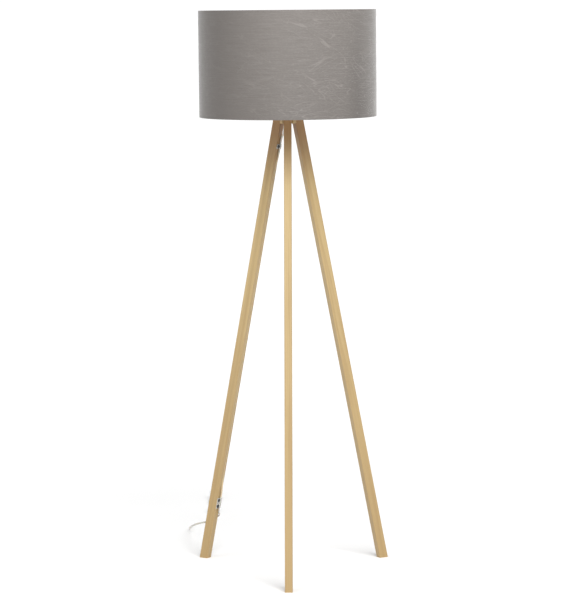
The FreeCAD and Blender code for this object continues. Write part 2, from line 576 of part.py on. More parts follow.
def clip_screw_places():
    """Points on the left leg's inner face where the clip screws go in."""
    rises = [rise * math.cos(SPLAY) for rise in LOWER_CLIP_SCREWS]
    heights = [UPPER_CLIP_HEIGHT] + [CORD_LEAVES_LEG + rise for rise in rises]
    return [leg_point(LEG_ANGLES["leg_left"], h, -LEG_DEPTH / 2, CLIP_SCREW_OFFSET) for h in heights]


def make_clip(low_height, length, screws):
    """Saddle that holds the lead to the leg, open towards the leg, with its screws beside the lead."""
    left = LEG_ANGLES["leg_left"]
    outward, sideways, rising = leg_direction(left)
    face = leg_point(left, low_height, -LEG_DEPTH / 2)
    centre_height = CORD_BEARING_GAP + CORD_RADIUS
    channel = CORD_RADIUS + CLIP_CHANNEL_CLEARANCE
    arch = channel + CLIP_WALL
    back = CORD_SIDE - arch - CLIP_LIP

    def bar(from_side, to_side, height):
        near = [face + sideways * from_side, face + sideways * to_side]
        far = [corner - outward * height for corner in reversed(near)]
        return prism(near + far, rising * length)

    centre = face - outward * centre_height + sideways * CORD_SIDE
    clip = bar(back, CLIP_FRONT, CLIP_FLANGE).fuse(bar(CORD_SIDE - arch, CORD_SIDE + arch, centre_height))
    clip = clip.fuse(Part.makeCylinder(arch, length, centre, rising)).removeSplitter()
    clip = clip.common(bar(back, CLIP_FRONT, centre_height + arch))
    clip = clip.cut(Part.makeCylinder(channel, length, centre, rising))
    clip = clip.cut(bar(CORD_SIDE - channel, CORD_SIDE + channel, centre_height))
    for screw in screws:
        reach = 4 * CLIP_FLANGE
        hole = Part.makeCylinder(CLIP_SCREW_RADIUS + SLIDE_CLEARANCE, reach, screw + outward, outward * -1)
        seat = screw - outward * CLIP_FLANGE
        head_room = Part.makeCylinder(CLIP_SCREW_HEAD_RADIUS + SLIDE_CLEARANCE, reach, seat, outward * -1)
        clip = clip.cut(hole).cut(head_room)
    return Part.makeCompound(clip.Solids)


def make_clips():
    """Upper and lower clips and their screws."""
    screws = clip_screw_places()
    outward = leg_direction(LEG_ANGLES["leg_left"])[0]
    bodies = []
    for place in screws:
        head_seat = place - outward * CLIP_FLANGE
        head = Part.makeCylinder(CLIP_SCREW_HEAD_RADIUS, CLIP_SCREW_HEAD_HEIGHT, head_seat, outward * -1)
        shank_length = CLIP_SCREW_LENGTH - 1 + CLIP_FLANGE
        shank = Part.makeCylinder(CLIP_SCREW_RADIUS, shank_length, head_seat, outward)
        bodies.append(head.fuse(shank))
    return {
        "cord_clip_upper": make_clip(upper_clip_bottom(), UPPER_CLIP_LENGTH, screws[:1]),
        "cord_clip_lower": make_clip(CORD_LEAVES_LEG, LOWER_CLIP_LENGTH, screws[1:]),
        "clip_screws": Part.makeCompound(bodies)}


def cord_exit():
    """Middle of the lead where it leaves the lower clip."""
    return leg_point(LEG_ANGLES["leg_left"], CORD_LEAVES_LEG, -CORD_OFFSET, CORD_SIDE)


def make_leg_cord():
    """Lead from the lampholder through the hub, over to the left leg and down its groove."""
    def on_leg(height, inward):
        return leg_point(LEG_ANGLES["leg_left"], height, -inward, CORD_SIDE)
    top = Vector(0, 0, NIPPLE_TOP + CORD_TOP_GAP)
    bore_floor = Vector(0, 0, HUB_TOP - NIPPLE_IN_HUB)
    below_hub = bore_floor + (cord_hole_exit() - bore_floor) * CORD_HOLE_RUN_ON
    joins = on_leg(CORD_JOINS_LEG, CORD_OFFSET)
    crossing = below_hub + (joins - below_hub) * CORD_CROSSING_SHARE + CORD_CROSSING_SWAY
    upper_start = upper_clip_bottom() - CORD_RAMP_START
    lower_start = lower_clip_top() + CORD_RAMP_START
    route = [
        top, bore_floor, below_hub, crossing, joins, on_leg(upper_start, CORD_OFFSET),
        on_leg(upper_start - CORD_RAMP_RUN, CORD_SUNK), on_leg(lower_start + CORD_RAMP_RUN, CORD_SUNK),
        on_leg(lower_start, CORD_OFFSET), cord_exit()]
    return round_cord(route, CORD_RADIUS, "leg_cord")


# ---- lead on the floor ----
def make_hank():
    """Folded bundle of put-away lead as one closed shape, and the tie round it."""
    def racetrack(half_width, bottom, top):
        half_run = HANK_RUN / 2
        body = Part.makeBox(2 * half_width, HANK_RUN, top - bottom, Vector(-half_width, -half_run, bottom))
        for y in (-half_run, half_run):
            body = body.fuse(Part.makeCylinder(half_width, top - bottom, Vector(0, y, bottom)))
        return body.removeSplitter()
    hank = racetrack(HANK_HALF_WIDTH, HANK_BOTTOM, HANK_TOP)
    hank.translate(HANK_MIDDLE)
    inner = HANK_HALF_WIDTH + TIE_GAP
    outer = inner + TIE_THICKNESS
    low_corner = Vector(-outer, TIE_OFFSET - TIE_WIDTH / 2, 0)
    loop = Part.makeBox(2 * outer, TIE_WIDTH, HANK_TOP + TIE_GAP + TIE_THICKNESS, low_corner)
    opening_corner = Vector(-inner, TIE_OFFSET - TIE_WIDTH, HANK_BOTTOM)
    opening_height = HANK_TOP + TIE_GAP - HANK_BOTTOM
    tie = loop.cut(Part.makeBox(2 * inner, 2 * TIE_WIDTH, opening_height, opening_corner))
    tie.translate(HANK_MIDDLE)
    return {"cord_hank": hank, "hank_tie": tie}


def make_floor_cords(leg_cord, hank, switch_reliefs, plug_relief):
    """The three lengths of lead that are not in the hank, each ending flush on what it meets."""
    exit_point = cord_exit()
    near = [(exit_point.x, exit_point.y, exit_point.z)] + ROUTE_TO_SWITCH
    return {
        "cord_to_switch": round_cord(near, CORD_RADIUS, "cord_to_switch").cut(leg_cord).cut(switch_reliefs),
        "cord_to_hank": round_cord(ROUTE_TO_HANK, CORD_RADIUS, "cord_to_hank").cut(switch_reliefs).cut(hank),
        "cord_to_plug": round_cord(ROUTE_TO_PLUG, CORD_RADIUS, "cord_to_plug").cut(hank).cut(plug_relief)}


# ---- switch ----
def switch_shell(bottom, top):
    """Rounded slab of the switch's outline."""
    corner = Vector(-SWITCH_WIDTH / 2, -SWITCH_LENGTH / 2, bottom)
    slab = Part.makeBox(SWITCH_WIDTH, SWITCH_LENGTH, top - bottom, corner)
    upright = [e for e in slab.Edges if e.BoundBox.ZLength > top - bottom - 0.01]
    return slab.makeFillet(SWITCH_CORNER_RADIUS, upright)


def switch_cavity(bottom, top):
    """Inside of the switch between two heights."""
    width = SWITCH_WIDTH - 2 * SWITCH_WALL
    length = SWITCH_LENGTH - 2 * SWITCH_WALL
    room = Part.makeBox(width, length, top - bottom, Vector(-width / 2, -length / 2, bottom))
    upright = [e for e in room.Edges if e.BoundBox.ZLength > top - bottom - 0.01]
    return room.makeFillet(SWITCH_CORNER_RADIUS - SWITCH_WALL, upright)


def make_switch_housing():
    """Lower tray and upper cover with the rocker's window and bearings, and the screws between them."""
    lower = switch_shell(0, SWITCH_PARTING).cut(switch_cavity(SWITCH_WALL, SWITCH_PARTING + 1))
    upper = switch_shell(SWITCH_PARTING, SWITCH_HEIGHT)
    rim = [e for e in upper.Edges if e.BoundBox.ZMin > SWITCH_HEIGHT - 0.01]
    upper = upper.makeFillet(SWITCH_TOP_RADIUS, rim)
    ceiling = SWITCH_HEIGHT - SWITCH_WALL
    upper = upper.cut(switch_cavity(SWITCH_PARTING - 1, ceiling))
    rise = SWITCH_HEIGHT - ROCKER_PIVOT_HEIGHT
    half_window = math.sqrt(ROCKER_RADIUS ** 2 - (rise - SWITCH_WALL) ** 2) + ROCKER_GAP
    half_gap = ROCKER_WIDTH / 2 + ROCKER_GAP
    window_corner = Vector(-half_gap, -half_window, ceiling - 1)
    upper = upper.cut(Part.makeBox(2 * half_gap, 2 * half_window, 3 * SWITCH_WALL, window_corner))
    post_bottom = SWITCH_PARTING - 2
    for side in (-1, 1):
        x = half_gap if side > 0 else -half_gap - PIVOT_LENGTH
        corner = Vector(x, -PIVOT_POST_WIDTH / 2, post_bottom)
        upper = upper.fuse(Part.makeBox(PIVOT_LENGTH, PIVOT_POST_WIDTH, ceiling - post_bottom, corner))
    reach = half_gap + PIVOT_LENGTH + SLIDE_CLEARANCE
    bore_start = Vector(-reach, 0, ROCKER_PIVOT_HEIGHT)
    upper = upper.cut(Part.makeCylinder(PIVOT_RADIUS + PIVOT_CLEARANCE, 2 * reach, bore_start, Vector(1, 0, 0)))
    screws = []
    for x, y in SWITCH_SCREW_PLACES:
        boss = Part.makeCylinder(SWITCH_BOSS_RADIUS, ceiling - SWITCH_PARTING, Vector(x, y, SWITCH_PARTING))
        low_boss_height = SWITCH_PARTING - SWITCH_WALL
        low_boss = Part.makeCylinder(SWITCH_BOSS_RADIUS, low_boss_height, Vector(x, y, SWITCH_WALL))
        hole = Part.makeCylinder(SWITCH_SCREW_RADIUS, SWITCH_SCREW_LENGTH + 1, Vector(x, y, 0))
        head_room = Part.makeCylinder(2 * SWITCH_SCREW_RADIUS, 2.0, Vector(x, y, 0))
        upper = upper.fuse(boss).cut(hole)
        lower = lower.fuse(low_boss).cut(hole).cut(head_room)
        head = Part.makeCylinder(1.9 * SWITCH_SCREW_RADIUS, 1.5, Vector(x, y, 0.5))
        shank = Part.makeCylinder(SWITCH_SCREW_RADIUS, SWITCH_SCREW_LENGTH - 1, Vector(x, y, 1))
        screws.append(head.fuse(shank))
    return {"switch_tray": lower, "switch_cover": upper, "switch_screws": Part.makeCompound(screws)}


def make_switch_inside():
    """Rocker at its off position and the two contact strips under it."""
    pivot = Vector(0, 0, ROCKER_PIVOT_HEIGHT)
    across = Vector(1, 0, 0)
    disc = Part.makeCylinder(ROCKER_RADIUS, ROCKER_WIDTH, pivot - across * (ROCKER_WIDTH / 2), across)
    size = 4 * ROCKER_RADIUS
    flat_underside = ROCKER_PIVOT_HEIGHT - ROCKER_SKIRT
    below = Part.makeBox(size, size, size, Vector(-size / 2, -size / 2, flat_underside - size))
    rocker = disc.cut(below)
    valley = Vector(0, 0, ROCKER_PIVOT_HEIGHT + ROCKER_VALLEY)
    for side in (-1, 1):
        above = Part.makeBox(size, size, size, Vector(-size / 2, 0 if side > 0 else -size, 0))
        above.rotate(Vector(0, 0, 0), across, side * ROCKER_FACET_DEG)
        above.translate(valley)
        rocker = rocker.cut(above)
    reach = ROCKER_WIDTH / 2 + PIVOT_LENGTH
    rocker = rocker.fuse(Part.makeCylinder(PIVOT_RADIUS, 2 * reach, pivot - across * reach, across))
    rocker.rotate(pivot, across, ROCKER_REST_DEG)
    strips = []
    for y in (-14.0, 14.0):
        corner = Vector(-CONTACT_WIDTH / 2, y - SWITCH_CONTACT_LENGTH / 2, SWITCH_WALL)
        strips.append(Part.makeBox(CONTACT_WIDTH, SWITCH_CONTACT_LENGTH, CONTACT_THICKNESS, corner))
    return {"switch_rocker": rocker, "switch_contacts": Part.makeCompound(strips)}


def relief(tip, root):
    """Tapered strain relief moulded round the lead."""
    return Part.makeCone(RELIEF_TIP_RADIUS, RELIEF_ROOT_RADIUS, (root - tip).Length, tip, root - tip)


def make_switch():
    """All of the switch, at its place on the lead."""
    pieces = {**make_switch_housing(), **make_switch_inside()}
    ends = []
    for side in (-1, 1):
        root = Vector(0, side * SWITCH_LENGTH / 2, SWITCH_PARTING)
        ends.append(relief(root + Vector(0, side * RELIEF_LENGTH, 0), root))
    pieces["switch_reliefs"] = Part.makeCompound(ends)
    for piece in pieces.values():
        piece.translate(SWITCH_MIDDLE)
    return pieces


# ---- plug ----
def make_plug():
    """Flat two-pin plug lying on the hank."""
    x, z = HANK_MIDDLE.x, PLUG_AXIS_HEIGHT
    back = PLUG_FACE_Y - PLUG_LENGTH
    shoulder = PLUG_FACE_Y - PLUG_SHOULDER
    outline = [(PLUG_WIDTH / 2, PLUG_FACE_Y), (PLUG_WIDTH / 2, shoulder), (PLUG_TAIL_WIDTH / 2, back),
               (-PLUG_TAIL_WIDTH / 2, back), (-PLUG_WIDTH / 2, shoulder), (-PLUG_WIDTH / 2, PLUG_FACE_Y)]
    corners = [Vector(x + across, along, z - PLUG_THICKNESS / 2) for across, along in outline]
    body = prism(corners, Vector(0, 0, PLUG_THICKNESS))
    upright = [e for e in body.Edges if e.BoundBox.ZLength > PLUG_THICKNESS - 0.01]
    body = body.makeFillet(PLUG_EDGE_RADIUS, upright)
    along_y = Vector(0, 1, 0)
    pins, sleeves = [], []
    for side in (-1, 1):
        root = Vector(x + side * PIN_SPACING / 2, PLUG_FACE_Y - PIN_ROOT, z)
        face = root + along_y * PIN_ROOT
        core = Part.makeCylinder(PIN_CORE_RADIUS, PIN_ROOT + PIN_SLEEVE_LENGTH, root, along_y)
        body = body.cut(core)
        sleeves.append(Part.makeCylinder(PIN_SLEEVE_RADIUS, PIN_SLEEVE_LENGTH, face, along_y).cut(core))
        bare_start = face + along_y * PIN_SLEEVE_LENGTH
        bare = Part.makeCylinder(PIN_RADIUS, PIN_LENGTH - PIN_SLEEVE_LENGTH, bare_start, along_y)
        tip = max(bare.Edges, key=lambda e: e.BoundBox.YMin)
        pins.append(bare.makeFillet(0.6 * PIN_RADIUS, [tip]).fuse(core))
    root = Vector(x, back, z)
    return {
        "plug_body": body,
        "plug_pins": Part.makeCompound(pins),
        "pin_sleeves": Part.makeCompound(sleeves),
        "plug_relief": relief(root - Vector(0, RELIEF_LENGTH, 0), root)}


def make_all():
    """Every node's shape, about the tripod's axis."""
    hank = make_hank()
    switch = make_switch()
    plug = make_plug()
    leg_cord = make_leg_cord()
    floor_cords = make_floor_cords(leg_cord, hank["cord_hank"], switch["switch_reliefs"], plug["plug_relief"])
    return {
        **make_legs(), "hub_block": make_hub(), **make_leg_fixings(), **make_stem(),
        **make_holder_shells(), **make_holder_inside(leg_cord),
        "shade_nut_lower": shade_nut(FITTER_BOTTOM - SHADE_NUT_FLANGE, False),
        "shade_nut_upper": shade_nut(FITTER_BOTTOM + FITTER_THICKNESS, True),
        **make_shade_frame(), **make_shade_skin(),
        **make_clips(), "leg_cord": leg_cord, **floor_cords, **hank, **switch, **plug}


os.makedirs("parts", exist_ok=True)
for node, shape in make_all().items():
    shape.translate(Vector(0, AXIS_Y, 0))
    if not shape.isValid():
        raise ValueError(f"{node} is not a valid shape")
    shape.exportStep(f"parts/{node}.step")
print(f"axis at y {AXIS_Y:.3f}, splay {math.degrees(SPLAY):.2f} degrees")
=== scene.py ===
"""Tripod floor lamp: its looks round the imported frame, laid out as a Blender add-on."""
import math

import bpy
from bpy.props import FloatProperty, FloatVectorProperty, IntProperty, PointerProperty
from mathutils import Matrix, Vector


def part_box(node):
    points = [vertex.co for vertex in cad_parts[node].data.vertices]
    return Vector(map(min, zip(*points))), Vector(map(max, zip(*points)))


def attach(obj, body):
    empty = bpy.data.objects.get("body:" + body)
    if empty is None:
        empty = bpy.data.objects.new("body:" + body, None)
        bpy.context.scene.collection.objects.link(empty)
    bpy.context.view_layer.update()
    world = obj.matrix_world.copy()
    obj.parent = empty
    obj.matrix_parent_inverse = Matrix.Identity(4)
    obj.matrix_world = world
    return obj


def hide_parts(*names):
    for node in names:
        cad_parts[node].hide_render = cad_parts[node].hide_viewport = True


bl_info = {
    "name": "Tripod floor lamp",
    "version": (1, 0, 0),
    "blender": (4, 5, 0),
    "location": "3D Viewport > Sidebar > Lamp",
    "description": "Builds the cloth, wood, lead and small parts of a tripod floor lamp",
    "category": "Object",
}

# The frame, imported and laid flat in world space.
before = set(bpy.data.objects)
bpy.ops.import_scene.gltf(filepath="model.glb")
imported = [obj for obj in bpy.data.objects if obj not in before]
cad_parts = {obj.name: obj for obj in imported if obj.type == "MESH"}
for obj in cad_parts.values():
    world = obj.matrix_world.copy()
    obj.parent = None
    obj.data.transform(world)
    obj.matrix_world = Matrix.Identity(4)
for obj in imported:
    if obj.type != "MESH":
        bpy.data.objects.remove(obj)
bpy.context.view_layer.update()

MM = 0.001

# Camera: place about the tripod's axis in metres, turn in degrees, lens and sensor in millimetres.
CAMERA_PLACE = (0.217955, -6.793895, 1.5)
CAMERA_HEADING, CAMERA_PITCH, CAMERA_ROLL = 1.763, 6.468, -0.5208
CAMERA_LENS, CAMERA_SENSOR = 153.62, 36.0

# Floor and lights: reach of the floor in metres, places in metres, spreads in degrees.
FLOOR_REACH = 500.0
CAMERA_REACH = 600.0
LIGHT_AIM = (0, 0, 0.75)
KEY_PLACE, KEY_SPREAD = (1.0, -2.75, 3.1), 42.0
FILL_PLACE, FILL_SPREAD = (-2.5, -1.9, 3.0), 44.0
BACKDROP_RISE = (0.03, 0.12)

# Route of the free lead about the tripod's axis, in millimetres.
LEAD_EXIT = (-203.10, 122.46, 141.97)
LEAD_TO_SWITCH = [
    (-204.7, 123.7, 131.7), (-202.2, 129.3, 122.3), (-204.4, 139.6, 117.4), (-212.2, 146.4, 111.8),
    (-222.4, 151.6, 106.3), (-233.2, 155.8, 100.2), (-246.4, 159.3, 94.4), (-259.8, 165.0, 90.8),
    (-271.2, 175.0, 86.2), (-281.3, 191.0, 78.9), (-288.8, 213.0, 70.5), (-293.4, 245.0, 61.7),
    (-298.6, 295.0, 50.2), (-301.2, 350.0, 40.1), (-306.4, 405.0, 27.2), (-308.7, 458.0, 18.3),
    (-312.0, 502.0, 8.8), (-313.2, 532.0, 3.6), (-310.6, 562.0, 2.35), (-300.6, 588.0, 2.35),
    (-288.4, 603.6, 2.35), (-276.4, 614.6, 2.35), (-266.4, 629.0, 2.35), (-260.5, 649.0, 2.4),
    (-259.5, 672.0, 3.0), (-260.8, 696.0, 4.6), (-261.5, 718.0, 6.0)]
SWITCH_MIDDLE = (-261.5, 768.0, 6.0)
LEAD_TO_HANK = [
    (-261.5, 818.0, 6.0), (-262.6, 836.0, 4.4), (-267.0, 854.0, 2.9), (-274.5, 871.0, 2.5),
    (-279.6, 888.0, 2.7), (-280.5, 907.0, 3.05)]
LEAD_TO_PLUG = [
    (-279.4, 911.0, 12.6), (-272.6, 922.5, 15.4), (-267.6, 931.5, 16.8), (-267.0, 940.0, 16.85)]

# Put-away turns of the lead, in millimetres; a layer climbs over the last third of a turn.
HANK_MIDDLE = (-267.0, 943.0)
HANK_HALF_RUN = 36.0
HANK_RADIUS = 13.5
HANK_TURNS = 2
HANK_LAYER_HEIGHTS = (3.05, 7.55)
HANK_CLIMB_START, HANK_CLIMB_RUN = 0.66, 0.34

# Legs: turn about the tripod's axis in degrees; reach of a foot and slope of a leg in metres.
LEGS = {"leg_front": -90.0, "leg_left": 150.0, "leg_right": 30.0}
FOOT_REACH = 0.282
LEG_RUN, LEG_RISE = 0.2515, 1.201
HUB_GRAIN_MIDDLE, HUB_GRAIN_HEIGHT = 0.013, 1.2
# Painted shade: the darker, redder tone of the legs' tops under the lampshade.
PAINTED_SHADE_AT_HUB = (0.25, 0.125, 0.045)

# Shade cloth: depth of its turned-in edge, corner rounding, glued seam and the seam's step.
EDGE_DEPTH = 0.00555
EDGE_CORNER = 0.001
EDGE_ROWS = ((0.0022, 0.0), (0.0034, 0.0), (0.0042, -0.0003), (0.005, 0.0))
WALL_MARGIN = 0.006
SEAM_STEP = 0.0005

# Crush creases of the cloth: turn, closeness across and along in lines per metre, offset.
CREASES = (
    (0.62, 44.0, 7.0, 0.0), (-0.33, 38.0, 6.0, 9.0), (0.06, 60.0, 5.0, 15.0),
    (0.28, 48.0, 6.0, 21.0), (-0.12, 52.0, 6.0, 33.0))
CREASE_HALF_WIDTH = 0.011


# ---- settings ----
class LampFabric(bpy.types.PropertyGroup):
    """Shade fabric."""

    colour: FloatVectorProperty(
        name="Colour", description="Colour of the cloth", subtype="COLOR",
        default=(0.166, 0.150, 0.138))
    thread_colour: FloatVectorProperty(
        name="Thread colour", description="Colour of the lighter, silkier threads", subtype="COLOR",
        default=(0.212, 0.196, 0.183))
    thickness: FloatProperty(
        name="Thickness", description="Cloth thickness", default=0.0006, unit="LENGTH",
        precision=5)
    hem: FloatProperty(
        name="Turned-in edge", description="Height of the edge turned in over the ring",
        default=0.008, unit="LENGTH")
    crease_depth: FloatProperty(
        name="Crush depth", description="Depth of the crushed waves of the cloth",
        default=0.00045, unit="LENGTH", precision=5)
    crease_scale: FloatProperty(
        name="Crush per metre", description="How closely the crushed waves follow each other",
        default=17.0)
    slub_scale: FloatProperty(
        name="Slubs per metre", description="Horizontal slub threads per metre of height",
        default=900.0)
    sheen: FloatProperty(
        name="Sheen", description="Silky sheen at grazing angles", default=0.5)
    columns: IntProperty(name="Columns", description="Facets round the drum", default=400)
    rows: IntProperty(name="Rows", description="Rows of faces up the drum", default=110)
    seed: IntProperty(name="Seed", description="Seed of the crushed waves", default=4)


class LampWood(bpy.types.PropertyGroup):
    """Wood of legs and hub."""

    light: FloatVectorProperty(
        name="Early wood", description="Lighter wood between the grain lines", subtype="COLOR",
        default=(0.462, 0.342, 0.164))
    dark: FloatVectorProperty(
        name="Late wood", description="Darker grain lines", subtype="COLOR",
        default=(0.315, 0.202, 0.080))
    ring_spacing: FloatProperty(
        name="Ring spacing", description="Distance between growth rings", default=0.0055,
        unit="LENGTH")
    roughness: FloatProperty(
        name="Roughness", description="Roughness of the lacquer", default=0.42)


class LampLead(bpy.types.PropertyGroup):
    """Supply lead."""

    diameter: FloatProperty(
        name="Diameter", description="Outer diameter", default=0.0045, unit="LENGTH")
    hank_points: IntProperty(
        name="Points per turn", description="Route points in one put-away turn", default=16)
    sheath: FloatVectorProperty(
        name="Sheath colour", description="Tint of the clear sheath", subtype="COLOR",
        default=(0.58, 0.55, 0.49))
    core: FloatVectorProperty(
        name="Core colour", description="What shows through the sheath", subtype="COLOR",
        default=(0.44, 0.40, 0.34))
    on_wood: FloatVectorProperty(
        name="Colour on wood", description="Sheath with the leg showing through", subtype="COLOR",
        default=(0.58, 0.44, 0.25))


class LampStage(bpy.types.PropertyGroup):
    """Floor and light."""

    floor: FloatVectorProperty(
        name="Floor colour", description="Colour of the floor", subtype="COLOR",
        default=(0.98, 0.98, 0.98))
    surround: FloatProperty(
        name="Surround light", description="Strength of the even surround light", default=0.48)
    horizon: FloatProperty(
        name="Backdrop", description="Strength of the pale backdrop at eye level", default=1.05)
    key: FloatProperty(
        name="Key light", description="Soft light, front right and above", default=2.75)
    fill: FloatProperty(
        name="Fill light", description="Soft light, front left and above", default=0.6)


# ---- helpers ----
def settings():
    """The add-on's settings."""
    scene = bpy.context.scene
    return scene.lamp_fabric, scene.lamp_wood, scene.lamp_lead, scene.lamp_stage


def axis_y():
    """The tripod's axis in the frame."""
    low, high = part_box("threaded_tube")
    return (low.y + high.y) / 2


def in_frame(point):
    """Point in millimetres about the tripod's axis, as metres in the frame."""
    return Vector((point[0] * MM, point[1] * MM + axis_y(), point[2] * MM))


class Nodes:
    """Small writer for a node tree."""

    def __init__(self, tree):
        self.tree = tree
        self.tree.nodes.clear()

    def add(self, kind, sockets=None, **values):
        """Adds a node, sets its properties, then its inputs, each linked or given a plain value."""
        node = self.tree.nodes.new(kind)
        for name, value in values.items():
            setattr(node, name, value)
        for key, value in (sockets or {}).items():
            if isinstance(value, bpy.types.NodeSocket):
                self.tree.links.new(value, node.inputs[key])
            else:
                node.inputs[key].default_value = value
        return node

    def maths(self, operation, *values):
        """Math node's result."""
        return self.add("ShaderNodeMath", dict(enumerate(values)), operation=operation).outputs[0]

    def vector_maths(self, operation, *values):
        """Vector Math node's result."""
        sockets = dict(enumerate(values))
        return self.add("ShaderNodeVectorMath", sockets, operation=operation).outputs[0]

    def off_by(self, value, middle):
        """How far a value is from a middle one."""
        return self.maths("ABSOLUTE", self.maths("SUBTRACT", value, middle))

    def remap(self, value, low, high, to_low, to_high):
        """Value carried from one span to another, clamped."""
        spans = {0: value, 1: low, 2: high, 3: to_low, 4: to_high}
        return self.add("ShaderNodeMapRange", spans).outputs[0]

    def blend(self, factor, a, b):
        """Mix of two colours."""
        node = self.add("ShaderNodeMix", {"Factor": factor}, data_type="RGBA")
        for socket, value in zip((node.inputs[6], node.inputs[7]), (a, b)):
            if isinstance(value, bpy.types.NodeSocket):
                self.tree.links.new(value, socket)
            else:
                socket.default_value = (*value[:3], 1.0)
        return node.outputs[2]

    def noise(self, vector, scale, detail=3.0, roughness=0.5):
        """Noise value."""
        sockets = {"Vector": vector, "Scale": scale, "Detail": detail, "Roughness": roughness}
        return self.add("ShaderNodeTexNoise", sockets).outputs["Fac"]

    def stretched(self, vector, scale, rotation=(0.0, 0.0, 0.0), location=(0.0, 0.0, 0.0)):
        """Coordinates moved, turned and scaled."""
        sockets = {
            "Vector": vector, "Location": location, "Rotation": rotation, "Scale": scale}
        return self.add("ShaderNodeMapping", sockets).outputs[0]

    def object_coordinates(self):
        """Object coordinates."""
        return self.add("ShaderNodeTexCoord").outputs["Object"]

    def bump(self, height, distance, strength=1.0, normal=None):
        """Bump normal."""
        sockets = {"Height": height, "Distance": distance, "Strength": strength}
        if normal is not None:
            sockets["Normal"] = normal
        return self.add("ShaderNodeBump", sockets).outputs[0]

    def surface(self, **sockets):
        """Principled surface and the output."""
        named = {key.replace("_", " "): value for key, value in sockets.items()}
        shader = self.add("ShaderNodeBsdfPrincipled", named)
        self.add("ShaderNodeOutputMaterial", {"Surface": shader.outputs[0]})
        return shader


def new_material(name):
    """Empty node material and its writer."""
    material = bpy.data.materials.new(name)
    material.use_nodes = True
    return material, Nodes(material.node_tree)


def painted(name, colour, roughness, variation=0.03, bump=0.00004, scale=900.0, **sockets):
    """Plain finish with a fine grain: plastics, paint and plated metal."""
    material, nodes = new_material(name)
    where = nodes.object_coordinates()
    coarse = nodes.noise(where, scale * 0.06, 4.0)
    fine = nodes.noise(where, scale, 3.0)
    shade = nodes.remap(coarse, 0.3, 0.7, 1.0 - variation, 1.0 + variation)
    tint = nodes.add("ShaderNodeCombineColor", {0: shade, 1: shade, 2: shade}).outputs[0]
    base = nodes.add("ShaderNodeMix", {"Factor": 1.0}, data_type="RGBA", blend_type="MULTIPLY")
    nodes.tree.links.new(tint, base.inputs[7])
    base.inputs[6].default_value = (*colour, 1.0)
    worn = nodes.remap(fine, 0.2, 0.8, roughness * 0.85, roughness * 1.15)
    nodes.surface(
        Base_Color=base.outputs[2], Roughness=worn, Normal=nodes.bump(fine, bump), **sockets)
    return material


def wood(name, base, rising, outward, grain, shift):
    """Straight-grained wood: growth rings that run nearly along the bar."""
    material, nodes = new_material(name)
    sideways = outward.cross(rising)
    turn = Matrix((sideways, outward, rising)).to_euler()
    moved = nodes.stretched(nodes.object_coordinates(), (1.0, 1.0, 1.0), location=tuple(-base))
    along = nodes.stretched(moved, (1.0, 1.0, 1.0), rotation=tuple(turn))
    split = nodes.add("ShaderNodeSeparateXYZ", {0: along})
    height = split.outputs[2]

    def drawn_out(closeness, length, detail, rough=0.5):
        """Noise drawn out along the bar: closeness across it and along it, in spots per metre."""
        place = nodes.stretched(along, (closeness, closeness, length), location=shift)
        return nodes.noise(place, 1.0, detail, rough)

    slow = drawn_out(6.0, 0.9, 2.0)
    across = nodes.maths("ADD", split.outputs[0], nodes.maths("MULTIPLY", split.outputs[1], 0.35))
    wander = nodes.maths("MULTIPLY", nodes.maths("SUBTRACT", slow, 0.5), 0.03)
    drift = nodes.maths("MULTIPLY", height, 0.006)
    rings = nodes.maths("ADD", nodes.maths("ADD", across, wander), drift)
    phase = nodes.maths("FRACT", nodes.maths("DIVIDE", rings, grain.ring_spacing))
    late = nodes.maths("POWER", phase, 3.0)
    fibre = drawn_out(900.0, 14.0, 4.0, 0.6)
    fleck = drawn_out(260.0, 5.0, 3.0, 0.55)
    patch = drawn_out(9.0, 2.2, 2.0)
    streak = drawn_out(120.0, 2.2, 3.0, 0.6)
    strength = nodes.maths("MULTIPLY", late, nodes.remap(fleck, 0.3, 0.7, 0.25, 0.8))
    toned = nodes.blend(strength, grain.light, grain.dark)
    lighter = tuple(min(1.0, c * 1.12) for c in grain.light)
    darker = tuple(c * 0.84 for c in grain.dark)
    toned = nodes.blend(nodes.remap(fibre, 0.35, 0.75, 0.0, 0.32), toned, darker)
    toned = nodes.blend(nodes.remap(streak, 0.42, 0.68, 0.0, 0.6), toned, grain.dark)
    toned = nodes.blend(nodes.remap(patch, 0.35, 0.7, 0.0, 0.4), toned, lighter)
    # Painted shade: darker towards the floor, and darker and redder near the hub, under the
    # lampshade.
    toned = nodes.blend(nodes.remap(height, 0.0, 0.85, 0.6, 0.0), toned, grain.dark)
    toned = nodes.blend(nodes.remap(height, 1.06, 1.21, 0.0, 0.85), toned, PAINTED_SHADE_AT_HUB)
    worn = nodes.remap(fibre, 0.2, 0.8, grain.roughness - 0.05, grain.roughness + 0.1)
    nodes.surface(
        Base_Color=toned, Roughness=worn, Normal=nodes.bump(fibre, 0.00012, 0.7),
        Coat_Weight=0.12, Coat_Roughness=0.35)
    return material


